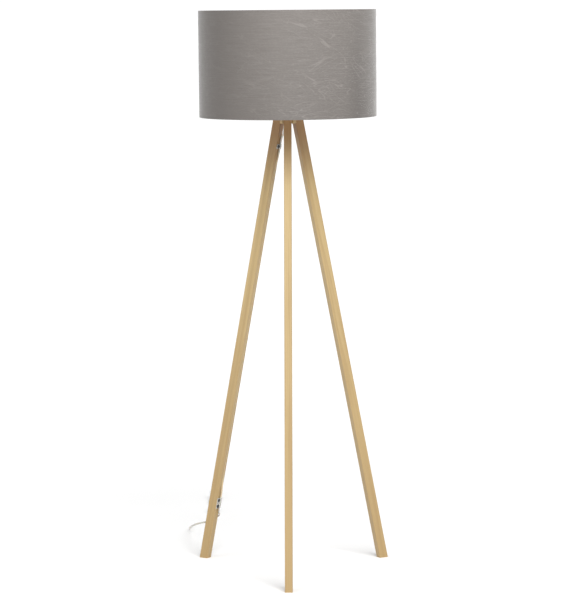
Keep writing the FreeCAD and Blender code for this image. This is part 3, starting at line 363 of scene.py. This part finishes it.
def lead_material(lead, name, wound):
    """Soft clear sheath: over two wound cores on the free lead, else over the wood of its leg."""
    material, nodes = new_material(name)
    where = nodes.object_coordinates()
    cloud = nodes.noise(where, 60.0, 2.0)
    if wound:
        split = nodes.add("ShaderNodeSeparateXYZ", {0: nodes.add("ShaderNodeUVMap").outputs[0]})
        twist = nodes.maths("MULTIPLY", split.outputs[0], 60.0)
        turn = nodes.maths("ADD", nodes.maths("MULTIPLY", split.outputs[1], 4.0), twist)
        core = nodes.maths("ABSOLUTE", nodes.maths("SINE", nodes.maths("MULTIPLY", turn, math.pi)))
        core = nodes.remap(core, 0.35, 0.8, 0.0, 0.8)
        colour = nodes.blend(core, lead.sheath, lead.core)
    else:
        # The wood shows through only where the lead lies in its groove, between the clips.
        height = nodes.add("ShaderNodeSeparateXYZ", {0: where}).outputs[2]
        above = nodes.remap(height, 1.10, 1.14, 0.0, 1.0)
        below = nodes.remap(height, 0.16, 0.19, 1.0, 0.0)
        milky = nodes.remap(cloud, 0.3, 0.7, 0.05, 0.2)
        free = nodes.maths("MAXIMUM", nodes.maths("MAXIMUM", above, below), milky)
        colour = nodes.blend(free, lead.on_wood, lead.sheath)
    nodes.surface(
        Base_Color=colour, Roughness=nodes.remap(cloud, 0.3, 0.7, 0.26, 0.36), IOR=1.5,
        Subsurface_Weight=0.25, Subsurface_Scale=0.002, Coat_Weight=0.4, Coat_Roughness=0.12)
    return material


def clear_plastic():
    """Moulded clear plastic with a slight milky cast."""
    material, nodes = new_material("clear_plastic")
    where = nodes.object_coordinates()
    cloud = nodes.noise(where, 140.0, 2.0)
    fine = nodes.noise(where, 700.0, 2.0)
    milky = nodes.remap(cloud, 0.3, 0.7, 0.0, 1.0)
    tint = nodes.blend(milky, (0.80, 0.78, 0.73), (0.88, 0.87, 0.83))
    nodes.surface(
        Base_Color=tint, Roughness=nodes.remap(fine, 0.3, 0.7, 0.12, 0.22), IOR=1.46,
        Transmission_Weight=0.6, Normal=nodes.bump(fine, 0.00003))
    return material


def fabric_material(fabric):
    """Silky fine-woven cloth with hairline crush creases, on the cloth's own metric coordinates."""
    material, nodes = new_material("shade_fabric")
    where = nodes.add("ShaderNodeUVMap").outputs[0]
    along, height = nodes.add("ShaderNodeSeparateXYZ", {0: where}).outputs[:2]

    def drawn_out(source, across, up, detail, rough=0.5, **turned):
        """Noise drawn out over the cloth: closeness round it and up it, in spots per metre."""
        return nodes.noise(nodes.stretched(source, (across, up, 1.0), **turned), 1.0, detail, rough)

    # Threads of the weave.
    weft = drawn_out(where, 30.0, fabric.slub_scale, 3.0, 0.6)
    slub = drawn_out(where, 11.0, fabric.slub_scale * 0.4, 2.0, location=(3.0, 1.0, 0.0))
    warp = drawn_out(where, 1500.0, 40.0, 2.0, location=(0.0, 0.0, 5.0))
    threads = nodes.maths(
        "ADD", nodes.maths("MULTIPLY", weft, 0.55), nodes.maths("MULTIPLY", slub, 0.45))

    # Bent hairlines: each set is where a drawn-out noise crosses its middle, shown in patches.
    bend = {"Vector": where, "Scale": 11.0, "Detail": 3.0}
    bend = nodes.add("ShaderNodeTexNoise", bend).outputs["Color"]
    bent = {0: nodes.vector_maths("ADD", bend, (-0.5, -0.5, -0.5)), "Scale": 0.022}
    bent = nodes.add("ShaderNodeVectorMath", bent, operation="SCALE").outputs[0]
    bent = nodes.vector_maths("ADD", where, bent)
    crease = None
    for turn, across, length, offset in CREASES:
        turned = nodes.stretched(bent, (1.0, 1.0, 1.0), rotation=(0.0, 0.0, turn))
        value = drawn_out(turned, length, across, 1.0, location=(offset, offset, offset))
        line = nodes.remap(nodes.off_by(value, 0.5), 0.0, CREASE_HALF_WIDTH, 1.0, 0.0)
        gate = drawn_out(where, 11.0, 16.0, 1.0, location=(offset, 4.0, offset))
        line = nodes.maths("MULTIPLY", line, nodes.remap(gate, 0.44, 0.6, 0.0, 1.0))
        crease = line if crease is None else nodes.maths("MAXIMUM", crease, line)
    wide = drawn_out(where, 5.0, 5.0, 2.0, location=(2.0, 7.0, 0.0))
    crushed = nodes.maths(
        "MULTIPLY", nodes.remap(along, 0.58, 0.84, 0.2, 1.0),
        nodes.remap(wide, 0.3, 0.6, 0.6, 1.0))
    crease = nodes.maths("MULTIPLY", crease, crushed)
    crinkle = drawn_out(bent, 150.0, 420.0, 2.0, 0.6, rotation=(0.0, 0.0, 0.25))
    crinkle = nodes.maths("MULTIPLY", nodes.remap(crinkle, 0.5, 0.66, 0.0, 1.0), crushed)

    # Colour: threads, paler on the creases, and painted shade: darker low down, on the left side
    # and in a band at the front right.
    silky = nodes.remap(threads, 0.36, 0.64, 0.0, 1.0)
    colour = nodes.blend(silky, fabric.colour, fabric.thread_colour)
    darker = tuple(c * 0.66 for c in fabric.colour)
    paler = tuple(min(1.0, c * 1.45) for c in fabric.thread_colour)
    # Painted shade: a dark band at the front right, strongest low down, and a darker left side.
    painted_shade = nodes.remap(nodes.off_by(along, 0.955), 0.0, 0.06, 1.0, 0.0)
    painted_shade = nodes.maths("MULTIPLY", painted_shade, nodes.remap(height, 0.05, 0.30, 0.85, 0.1))
    painted_shade_left = nodes.maths(
        "MULTIPLY", nodes.remap(along, 0.54, 0.72, 1.0, 0.0),
        nodes.remap(along, 0.10, 0.34, 0.0, 1.0))
    painted_shade = nodes.maths("MULTIPLY", nodes.maths("MAXIMUM", painted_shade, painted_shade_left), 0.8)
    # Painted shade, darker low down.
    colour = nodes.blend(nodes.remap(height, 0.02, 0.30, 0.4, 0.0), colour, darker)
    colour = nodes.blend(painted_shade, colour, darker)
    colour = nodes.blend(nodes.maths("MULTIPLY", crease, 0.48), colour, paler)
    colour = nodes.blend(nodes.maths("MULTIPLY", crinkle, 0.26), colour, paler)
    colour = nodes.blend(nodes.remap(warp, 0.45, 0.7, 0.0, 0.12), colour, darker)
    normal = nodes.bump(threads, 0.00012, 0.4)
    normal = nodes.bump(crease, 0.0007, 0.6, normal)
    nodes.surface(
        Base_Color=colour, Roughness=nodes.remap(threads, 0.35, 0.65, 0.62, 0.5), Normal=normal,
        Sheen_Weight=fabric.sheen, Sheen_Roughness=0.35, Specular_IOR_Level=0.35)
    return material


def cloth_group():
    """Cloth wall: a closed profile carried round the drum, crushed, with metric coordinates."""
    group = bpy.data.node_groups.new("shade_cloth", "GeometryNodeTree")
    kinds = {
        "Profile": "NodeSocketGeometry", "Columns": "NodeSocketInt",
        "Profile points": "NodeSocketInt", "Radius": "NodeSocketFloat",
        "Bottom": "NodeSocketFloat", "Top": "NodeSocketFloat", "Crease depth": "NodeSocketFloat",
        "Creases per metre": "NodeSocketFloat", "Seed": "NodeSocketFloat",
        "Material": "NodeSocketMaterial"}
    for name, kind in kinds.items():
        group.interface.new_socket(name=name, in_out="INPUT", socket_type=kind)
    group.interface.new_socket(name="Cloth", in_out="OUTPUT", socket_type="NodeSocketGeometry")
    nodes = Nodes(group)
    given = nodes.add("NodeGroupInput").outputs
    columns = nodes.maths("ADD", given["Columns"], 1.0)

    # A flat grid: one step across is a facet of the drum, one step up is a point of the profile.
    grid = nodes.add("GeometryNodeMeshGrid", {
        "Size X": 1.0, "Size Y": 1.0, "Vertices X": columns, "Vertices Y": given["Profile points"]})
    position = nodes.add("GeometryNodeInputPosition").outputs[0]
    place = nodes.add("ShaderNodeSeparateXYZ", {0: position})
    round_share = nodes.maths("ADD", place.outputs[0], 0.5)
    up_share = nodes.maths("ADD", place.outputs[1], 0.5)
    last_point = nodes.maths("SUBTRACT", given["Profile points"], 1.0)
    step = nodes.maths("ROUND", nodes.maths("MULTIPLY", up_share, last_point))
    sampled = nodes.add(
        "GeometryNodeSampleIndex",
        {"Geometry": given["Profile"], "Index": step}, data_type="FLOAT_VECTOR", domain="POINT")
    value = next(socket for socket in sampled.inputs if socket.name == "Value" and socket.enabled)
    nodes.tree.links.new(nodes.add("GeometryNodeInputPosition").outputs[0], value)
    found = next(socket for socket in sampled.outputs if socket.enabled)
    profile = nodes.add("ShaderNodeSeparateXYZ", {0: found})
    radius, along, height = profile.outputs
    angle = nodes.maths("ADD", nodes.maths("MULTIPLY", round_share, 2 * math.pi), math.pi / 2)
    cosine, sine = nodes.maths("COSINE", angle), nodes.maths("SINE", angle)

    # The cloth's own coordinates: metres round the drum and along the profile.
    girth = nodes.maths("MULTIPLY", given["Radius"], 2 * math.pi)
    across = nodes.maths("MULTIPLY", round_share, girth)
    metric = nodes.add("ShaderNodeCombineXYZ", {0: across, 1: along}).outputs[0]
    stored = nodes.add(
        "GeometryNodeStoreNamedAttribute",
        {"Geometry": grid.outputs["Mesh"], "Name": "UVMap", "Value": metric},
        data_type="FLOAT2", domain="CORNER")

    # Crushed waves on the outer wall, calm near both edges, and the step of the glued seam.
    wall_start = nodes.maths("SUBTRACT", given["Radius"], 0.0004)
    wall = nodes.maths("GREATER_THAN", radius, wall_start)
    from_low = nodes.maths("SUBTRACT", height, given["Bottom"])
    from_high = nodes.maths("SUBTRACT", given["Top"], height)
    nearest = nodes.maths("MINIMUM", from_low, from_high)
    edge = nodes.remap(nearest, WALL_MARGIN, 0.022, 0.0, 1.0)
    spot = nodes.add("ShaderNodeCombineXYZ", {
        0: nodes.maths("MULTIPLY", cosine, given["Radius"]),
        1: nodes.maths("MULTIPLY", sine, given["Radius"]),
        2: nodes.maths("MULTIPLY", height, 1.6)}).outputs[0]
    crush = nodes.add(
        "ShaderNodeTexNoise",
        {"Vector": spot, "W": given["Seed"], "Scale": given["Creases per metre"], "Detail": 3.0,
         "Roughness": 0.55, "Distortion": 1.2}, noise_dimensions="4D").outputs[0]
    raised = nodes.remap(crush, 0.3, 0.75, -0.35, 1.0)
    raised = nodes.maths("MULTIPLY", raised, given["Crease depth"])
    raised = nodes.maths("MULTIPLY", nodes.maths("MULTIPLY", raised, wall), edge)
    before_seam = nodes.maths("SUBTRACT", 1.0, nodes.maths("DIVIDE", 0.5, given["Columns"]))
    overlap = nodes.remap(round_share, 0.988, 0.9925, 0.0, SEAM_STEP)
    overlap = nodes.maths("MULTIPLY", overlap, wall)
    overlap = nodes.maths("MULTIPLY", overlap, nodes.maths("LESS_THAN", round_share, before_seam))
    reach = nodes.maths("ADD", radius, nodes.maths("ADD", raised, overlap))
    moved = nodes.add("ShaderNodeCombineXYZ", {
        0: nodes.maths("MULTIPLY", cosine, reach), 1: nodes.maths("MULTIPLY", sine, reach),
        2: height}).outputs[0]

    # Joined up, smooth, and a plain mesh with its material.
    cloth = stored.outputs[0]
    for kind, more in (
            ("GeometryNodeSetPosition", {"Position": moved}),
            ("GeometryNodeMergeByDistance", {"Distance": 0.00001}),
            ("GeometryNodeSetShadeSmooth", {}), ("GeometryNodeRealizeInstances", {}),
            ("GeometryNodeSetMaterial", {"Material": given["Material"]})):
        cloth = nodes.add(kind, {"Geometry": cloth, **more}).outputs[0]
    nodes.add("NodeGroupOutput", {0: cloth})
    return group


def made_plain(piece, group, values):
    """Runs a geometry group on a piece and keeps the result as its plain mesh."""
    modifier = piece.modifiers.new("build", "NODES")
    modifier.node_group = group
    for item in group.interface.items_tree:
        if item.in_out == "INPUT" and item.name in values:
            modifier[item.identifier] = values[item.name]
    bpy.context.view_layer.update()
    evaluated = piece.evaluated_get(bpy.context.evaluated_depsgraph_get())
    mesh = bpy.data.meshes.new_from_object(evaluated)
    piece.modifiers.clear()
    piece.data = mesh
    mesh.name = piece.name


def give(material, *names):
    """Puts one material on CAD nodes or pieces."""
    for name in names:
        data = bpy.data.objects[name].data
        data.materials.clear()
        data.materials.append(material)


def smooth(*names):
    """Smooth shading that keeps real edges sharp."""
    for name in names:
        mesh = bpy.data.objects[name].data
        mesh.shade_smooth()
        mesh.set_sharp_from_angle(angle=math.radians(32))


# ---- operators ----
class LAMP_OT_camera(bpy.types.Operator):
    """Places the camera level with the shade's upper rim"""

    bl_idname = "lamp.camera"
    bl_label = "Camera"

    def execute(self, context):
        data = bpy.data.cameras.new("view")
        data.lens = CAMERA_LENS
        data.sensor_width = CAMERA_SENSOR
        data.clip_end = CAMERA_REACH
        camera = bpy.data.objects.new("view", data)
        context.scene.collection.objects.link(camera)
        heading, roll = math.radians(CAMERA_HEADING), math.radians(CAMERA_ROLL)
        pitch = math.radians(90) - math.radians(CAMERA_PITCH)
        turn = (
            Matrix.Rotation(heading, 4, "Z") @ Matrix.Rotation(pitch, 4, "X")
            @ Matrix.Rotation(roll, 4, "Z"))
        x, y, z = CAMERA_PLACE
        camera.matrix_world = Matrix.Translation((x, axis_y() + y, z)) @ turn
        context.scene.camera = camera
        return {"FINISHED"}


class LAMP_OT_lead(bpy.types.Operator):
    """Lays the free lead from the lower clip over the floor to the plug"""

    bl_idname = "lamp.lead"
    bl_label = "Free lead"

    def hank(self, count):
        """Route of the put-away turns, clockwise from above, each layer over the last."""
        x, y = HANK_MIDDLE
        radius = HANK_RADIUS
        low, high = HANK_LAYER_HEIGHTS
        route = []
        run = 2 * HANK_HALF_RUN
        turn_length = 2 * run + 2 * math.pi * radius
        for i in range(1, HANK_TURNS * count):
            travelled = i / count
            along = travelled % 1.0 * turn_length
            if along < run:
                place = (x - radius, y - HANK_HALF_RUN + along)
            elif along < run + math.pi * radius:
                angle = math.pi - (along - run) / radius
                place = (x + radius * math.cos(angle), y + HANK_HALF_RUN + radius * math.sin(angle))
            elif along < 2 * run + math.pi * radius:
                place = (x + radius, y + HANK_HALF_RUN - (along - run - math.pi * radius))
            else:
                angle = -(along - 2 * run - math.pi * radius) / radius
                place = (x + radius * math.cos(angle), y - HANK_HALF_RUN + radius * math.sin(angle))
            first = (travelled - HANK_CLIMB_START) / HANK_CLIMB_RUN
            second = (travelled - 1.0 - HANK_CLIMB_START) / HANK_CLIMB_RUN
            climb = max(0.0, min(1.0, first)) + max(0.0, second)
            route.append((*place, low + (high - low) * climb))
        return route

    def execute(self, context):
        lead = settings()[2]
        turns = self.hank(lead.hank_points)
        route = [
            LEAD_EXIT, *LEAD_TO_SWITCH, SWITCH_MIDDLE, *LEAD_TO_HANK, *turns, *LEAD_TO_PLUG]
        points = [in_frame(point) for point in route]
        curve = bpy.data.curves.new("free_lead", "CURVE")
        curve.dimensions = "3D"
        spline = curve.splines.new("NURBS")
        spline.points.add(len(points) - 1)
        # The lead's radius stands on its points, so that the curve's box is the lead's own.
        for place, point in zip(spline.points, points):
            place.co = (*point, 1.0)
            place.radius = lead.diameter / 2
        spline.order_u = 3
        spline.use_endpoint_u = True
        spline.resolution_u = 8
        curve.bevel_depth = 1.0
        curve.bevel_resolution = 4
        curve.use_fill_caps = True
        piece = bpy.data.objects.new("free_lead", curve)
        context.scene.collection.objects.link(piece)
        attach(piece, "lamp")
        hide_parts("cord_to_switch", "cord_to_hank", "cord_hank", "cord_to_plug")
        return {"FINISHED"}


class LAMP_OT_shade(bpy.types.Operator):
    """Builds the shade's crushed cloth round the liner"""

    bl_idname = "lamp.shade"
    bl_label = "Shade cloth"

    def profile(self, fabric, low, high, outer):
        """Closed section of the cloth: radius, way along the outer side, height."""
        inner = outer - fabric.thickness
        turned = outer - EDGE_DEPTH
        flap = turned + fabric.thickness
        rows, corner = fabric.rows, EDGE_CORNER
        bends = [
            (corner * math.sin(math.radians(a)), corner * math.cos(math.radians(a)))
            for a in (30, 60)]
        left, right = turned + corner, outer - corner
        under, over = low + corner, high - corner

        # Up the inner side of the lower edge, round its two corners, and up the wall.
        points = [(turned, low + fabric.hem), (turned, low + 0.003), (turned, under)]
        points += [(left - cosine, under - sine) for sine, cosine in bends]
        points += [(left, low), (right, low)]
        points += [(right + sine, under - cosine) for sine, cosine in bends]
        points += [(outer, under)] + [(outer + dip, low + rise) for rise, dip in EDGE_ROWS]
        first, last = low + WALL_MARGIN, high - WALL_MARGIN
        points += [(outer, first + (last - first) * k / rows) for k in range(rows + 1)]

        # Round the upper edge and down the inner side, which lies on the liner.
        points += [(outer + dip, high - rise) for rise, dip in reversed(EDGE_ROWS)]
        points += [(outer, over)] + [(right + cosine, over + sine) for sine, cosine in bends]
        points += [(right, high), (left, high)]
        points += [(left - sine, over + cosine) for sine, cosine in bends]
        points += [(turned, over), (turned, high - 0.003), (turned, high - fabric.hem)]
        points += [(flap, high - fabric.hem), (flap, high - fabric.thickness)]
        points.append((inner, high - fabric.thickness))
        points += [(inner, high - (high - low) * k / 8) for k in range(1, 8)]
        points += [(inner, low + fabric.thickness), (flap, low + fabric.thickness)]
        points += [(flap, low + fabric.hem), points[0]]
        way, section = 0.0, []
        for before, point in zip([points[0]] + points, points):
            way += math.dist(before, point)
            section.append((point[0], way, point[1]))
        return section

    def execute(self, context):
        fabric = settings()[0]
        low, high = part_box("shade_cover")
        outer = (high.x - low.x) / 2
        section = self.profile(fabric, low.z, high.z, outer)
        mesh = bpy.data.meshes.new("shade_cloth_profile")
        mesh.from_pydata(section, [(i, i + 1) for i in range(len(section) - 1)], [])
        piece = bpy.data.objects.new("shade_cloth", mesh)
        context.scene.collection.objects.link(piece)
        made_plain(piece, cloth_group(), {
            "Columns": fabric.columns, "Profile points": len(section), "Radius": outer,
            "Bottom": low.z, "Top": high.z, "Crease depth": fabric.crease_depth,
            "Creases per metre": fabric.crease_scale, "Seed": float(fabric.seed),
            "Material": fabric_material(fabric)})
        piece.data.transform(Matrix.Translation((0, axis_y(), 0)))
        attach(piece, "lamp")
        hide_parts("shade_cover")
        return {"FINISHED"}


class LAMP_OT_wood(bpy.types.Operator):
    """Finishes legs, hub and dowels as light straight-grained wood"""

    bl_idname = "lamp.wood"
    bl_label = "Wood"

    def execute(self, context):
        grain = settings()[1]
        splay = math.atan2(LEG_RUN, LEG_RISE)
        lean, climb = math.sin(splay), math.cos(splay)
        for k, (name, angle) in enumerate(LEGS.items()):
            x, y = math.cos(math.radians(angle)), math.sin(math.radians(angle))
            outward = Vector((x * climb, y * climb, lean))
            rising = Vector((-x * lean, -y * lean, climb))
            foot = Vector((FOOT_REACH * x, FOOT_REACH * y + axis_y(), 0.0))
            shift = (7.3 * k + 1.1, 3.7 * k, 5.9 * k)
            give(wood(name + "_wood", foot, rising, outward, grain, shift), name)
        up, front = Vector((0, 0, 1)), Vector((0, -1, 0))
        middle = Vector((HUB_GRAIN_MIDDLE, axis_y(), HUB_GRAIN_HEIGHT))
        hub = wood("hub_wood", middle, up, front, grain, (31.0, 8.0, 4.0))
        give(hub, "hub_block", "leg_dowels")
        smooth("leg_front", "leg_left", "leg_right", "hub_block", "leg_dowels")
        return {"FINISHED"}


class LAMP_OT_shade_frame(bpy.types.Operator):
    """Finishes the shade's liner, rings, arms and fitter"""

    bl_idname = "lamp.shade_frame"
    bl_label = "Shade frame"

    def execute(self, context):
        frame = ("shade_top_ring", "shade_bottom_ring", "shade_arms", "shade_fitter")
        enamel = painted(
            "white_steel", (0.82, 0.82, 0.80), 0.32, Coat_Weight=0.3, Coat_Roughness=0.15)
        lining = painted("shade_lining", (0.80, 0.78, 0.74), 0.5, bump=0.00006, scale=500.0)
        give(enamel, *frame)
        give(lining, "shade_liner")
        smooth(*frame, "shade_liner")
        return {"FINISHED"}


class LAMP_OT_holder(bpy.types.Operator):
    """Finishes the lampholder, its inside and the threaded stem"""

    bl_idname = "lamp.holder"
    bl_label = "Lampholder"

    def execute(self, context):
        shell = painted("holder_plastic", (0.78, 0.77, 0.73), 0.42)
        give(shell, "holder_cap", "holder_skirt", "shade_nut_lower", "shade_nut_upper")
        give(painted("ceramic_white", (0.76, 0.75, 0.71), 0.55, bump=0.00008), "contact_block")
        give(
            painted("brass", (0.72, 0.52, 0.22), 0.24, variation=0.08, Metallic=1.0),
            "centre_contact", "side_contact", "terminal_screws", "hub_inserts", "switch_contacts")
        give(
            painted("zinc_steel", (0.62, 0.63, 0.64), 0.3, variation=0.08, Metallic=1.0),
            "leg_bolts", "threaded_tube", "hub_washer", "lock_nut", "switch_screws")
        give(painted("core_insulation", (0.30, 0.17, 0.09), 0.4), "lead_cores")
        smooth(
            "holder_cap", "holder_skirt", "shade_nut_lower", "shade_nut_upper", "contact_block",
            "terminal_screws", "hub_inserts", "leg_bolts", "threaded_tube", "hub_washer",
            "switch_screws", "lead_cores")
        return {"FINISHED"}


class LAMP_OT_fittings(bpy.types.Operator):
    """Finishes the clips, their screws and the held lead"""

    bl_idname = "lamp.fittings"
    bl_label = "Clips and held lead"

    def execute(self, context):
        lead = settings()[2]
        give(clear_plastic(), "cord_clip_upper", "cord_clip_lower", "switch_reliefs")
        give(painted("black_steel", (0.012, 0.012, 0.012), 0.4, Metallic=0.4), "clip_screws")
        give(lead_material(lead, "clear_sheath_held", False), "leg_cord")
        give(lead_material(lead, "clear_sheath", True), "free_lead")
        smooth("cord_clip_upper", "cord_clip_lower", "switch_reliefs", "clip_screws", "leg_cord")
        return {"FINISHED"}


class LAMP_OT_switch_and_plug(bpy.types.Operator):
    """Finishes the rocker switch, the tie and the plug"""

    bl_idname = "lamp.switch_and_plug"
    bl_label = "Switch and plug"

    def execute(self, context):
        switch = ("switch_tray", "switch_cover", "switch_rocker")
        nickel = painted("nickel", (0.66, 0.64, 0.60), 0.18, variation=0.06, Metallic=1.0)
        give(painted("switch_plastic", (0.84, 0.84, 0.82), 0.38), *switch)
        give(painted("plug_plastic", (0.84, 0.84, 0.82), 0.42), "plug_body", "plug_relief")
        give(painted("tie_plastic", (0.70, 0.70, 0.68), 0.45), "hank_tie")
        give(nickel, "plug_pins")
        give(painted("sleeve_plastic", (0.02, 0.02, 0.02), 0.4), "pin_sleeves")
        smooth(*switch, "plug_body", "plug_relief", "plug_pins", "pin_sleeves")
        return {"FINISHED"}


class LAMP_OT_stage(bpy.types.Operator):
    """Sets out the floor, the surround and the soft lights"""

    bl_idname = "lamp.stage"
    bl_label = "Floor and light"

    def distant_light(self, name, place, spread, strength):
        """Soft light from a long way off, aimed at the lamp's middle."""
        data = bpy.data.lights.new(name, "SUN")
        data.energy = strength
        data.angle = math.radians(spread)
        light = bpy.data.objects.new(name, data)
        bpy.context.scene.collection.objects.link(light)
        aim = (Vector(LIGHT_AIM) - Vector(place)).to_track_quat("-Z", "Y").to_matrix()
        light.matrix_world = Matrix.Translation(place) @ aim.to_4x4()

    def execute(self, context):
        stage = settings()[3]
        mesh = bpy.data.meshes.new("floor")
        corners = ((-1, -1), (1, -1), (1, 1), (-1, 1))
        mesh.from_pydata(
            [(x * FLOOR_REACH, y * FLOOR_REACH, 0) for x, y in corners], [], [(0, 1, 2, 3)])
        floor = bpy.data.objects.new("floor", mesh)
        context.scene.collection.objects.link(floor)
        material, nodes = new_material("floor_pale")
        cloud = nodes.noise(nodes.object_coordinates(), 3.0, 3.0)
        lighter = tuple(min(1.0, c * 1.01) for c in stage.floor)
        colour = nodes.blend(cloud, stage.floor, lighter)
        nodes.surface(Base_Color=colour, Roughness=0.8, Specular_IOR_Level=0.1)
        mesh.materials.append(material)
        self.distant_light("key", KEY_PLACE, KEY_SPREAD, stage.key)
        self.distant_light("fill", FILL_PLACE, FILL_SPREAD, stage.fill)
        world = bpy.data.worlds.new("surround")
        world.use_nodes = True
        nodes = Nodes(world.node_tree)
        way = nodes.add("ShaderNodeTexCoord").outputs["Generated"]
        rise = nodes.add("ShaderNodeSeparateXYZ", {0: way}).outputs[2]
        strength = nodes.remap(rise, *BACKDROP_RISE, stage.horizon, stage.surround)
        background = nodes.add(
            "ShaderNodeBackground", {"Color": (1.0, 1.0, 1.0, 1.0), "Strength": strength})
        nodes.add("ShaderNodeOutputWorld", {"Surface": background.outputs[0]})
        context.scene.world = world
        context.scene.view_settings.view_transform = "Standard"
        return {"FINISHED"}


OPERATORS = (
    LAMP_OT_camera, LAMP_OT_lead, LAMP_OT_shade, LAMP_OT_wood, LAMP_OT_shade_frame, LAMP_OT_holder,
    LAMP_OT_fittings, LAMP_OT_switch_and_plug, LAMP_OT_stage)


class LAMP_PT_panel(bpy.types.Panel):
    """Buttons for each group of pieces"""

    bl_label = "Tripod floor lamp"
    bl_idname = "LAMP_PT_panel"
    bl_space_type = "VIEW_3D"
    bl_region_type = "UI"
    bl_category = "Lamp"

    def draw(self, context):
        layout = self.layout
        for operator in OPERATORS:
            layout.operator(operator.bl_idname)
        for group in GROUPS:
            box = layout.box()
            values = getattr(context.scene, group)
            for name in values.bl_rna.properties.keys():
                if name not in {"rna_type", "name"}:
                    box.prop(values, name)


GROUPS = {
    "lamp_fabric": LampFabric, "lamp_wood": LampWood, "lamp_lead": LampLead,
    "lamp_stage": LampStage}


def register():
    for cls in (*GROUPS.values(), *OPERATORS, LAMP_PT_panel):
        bpy.utils.register_class(cls)
    for name, group in GROUPS.items():
        setattr(bpy.types.Scene, name, PointerProperty(type=group))


def unregister():
    for name in GROUPS:
        delattr(bpy.types.Scene, name)
    for cls in (LAMP_PT_panel, *reversed(OPERATORS), *reversed(list(GROUPS.values()))):
        bpy.utils.unregister_class(cls)


def main():
    """Registers the add-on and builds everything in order."""
    register()
    for operator in OPERATORS:
        group, name = operator.bl_idname.split(".")
        getattr(getattr(bpy.ops, group), name)()


if __name__ == "__main__":
    main()
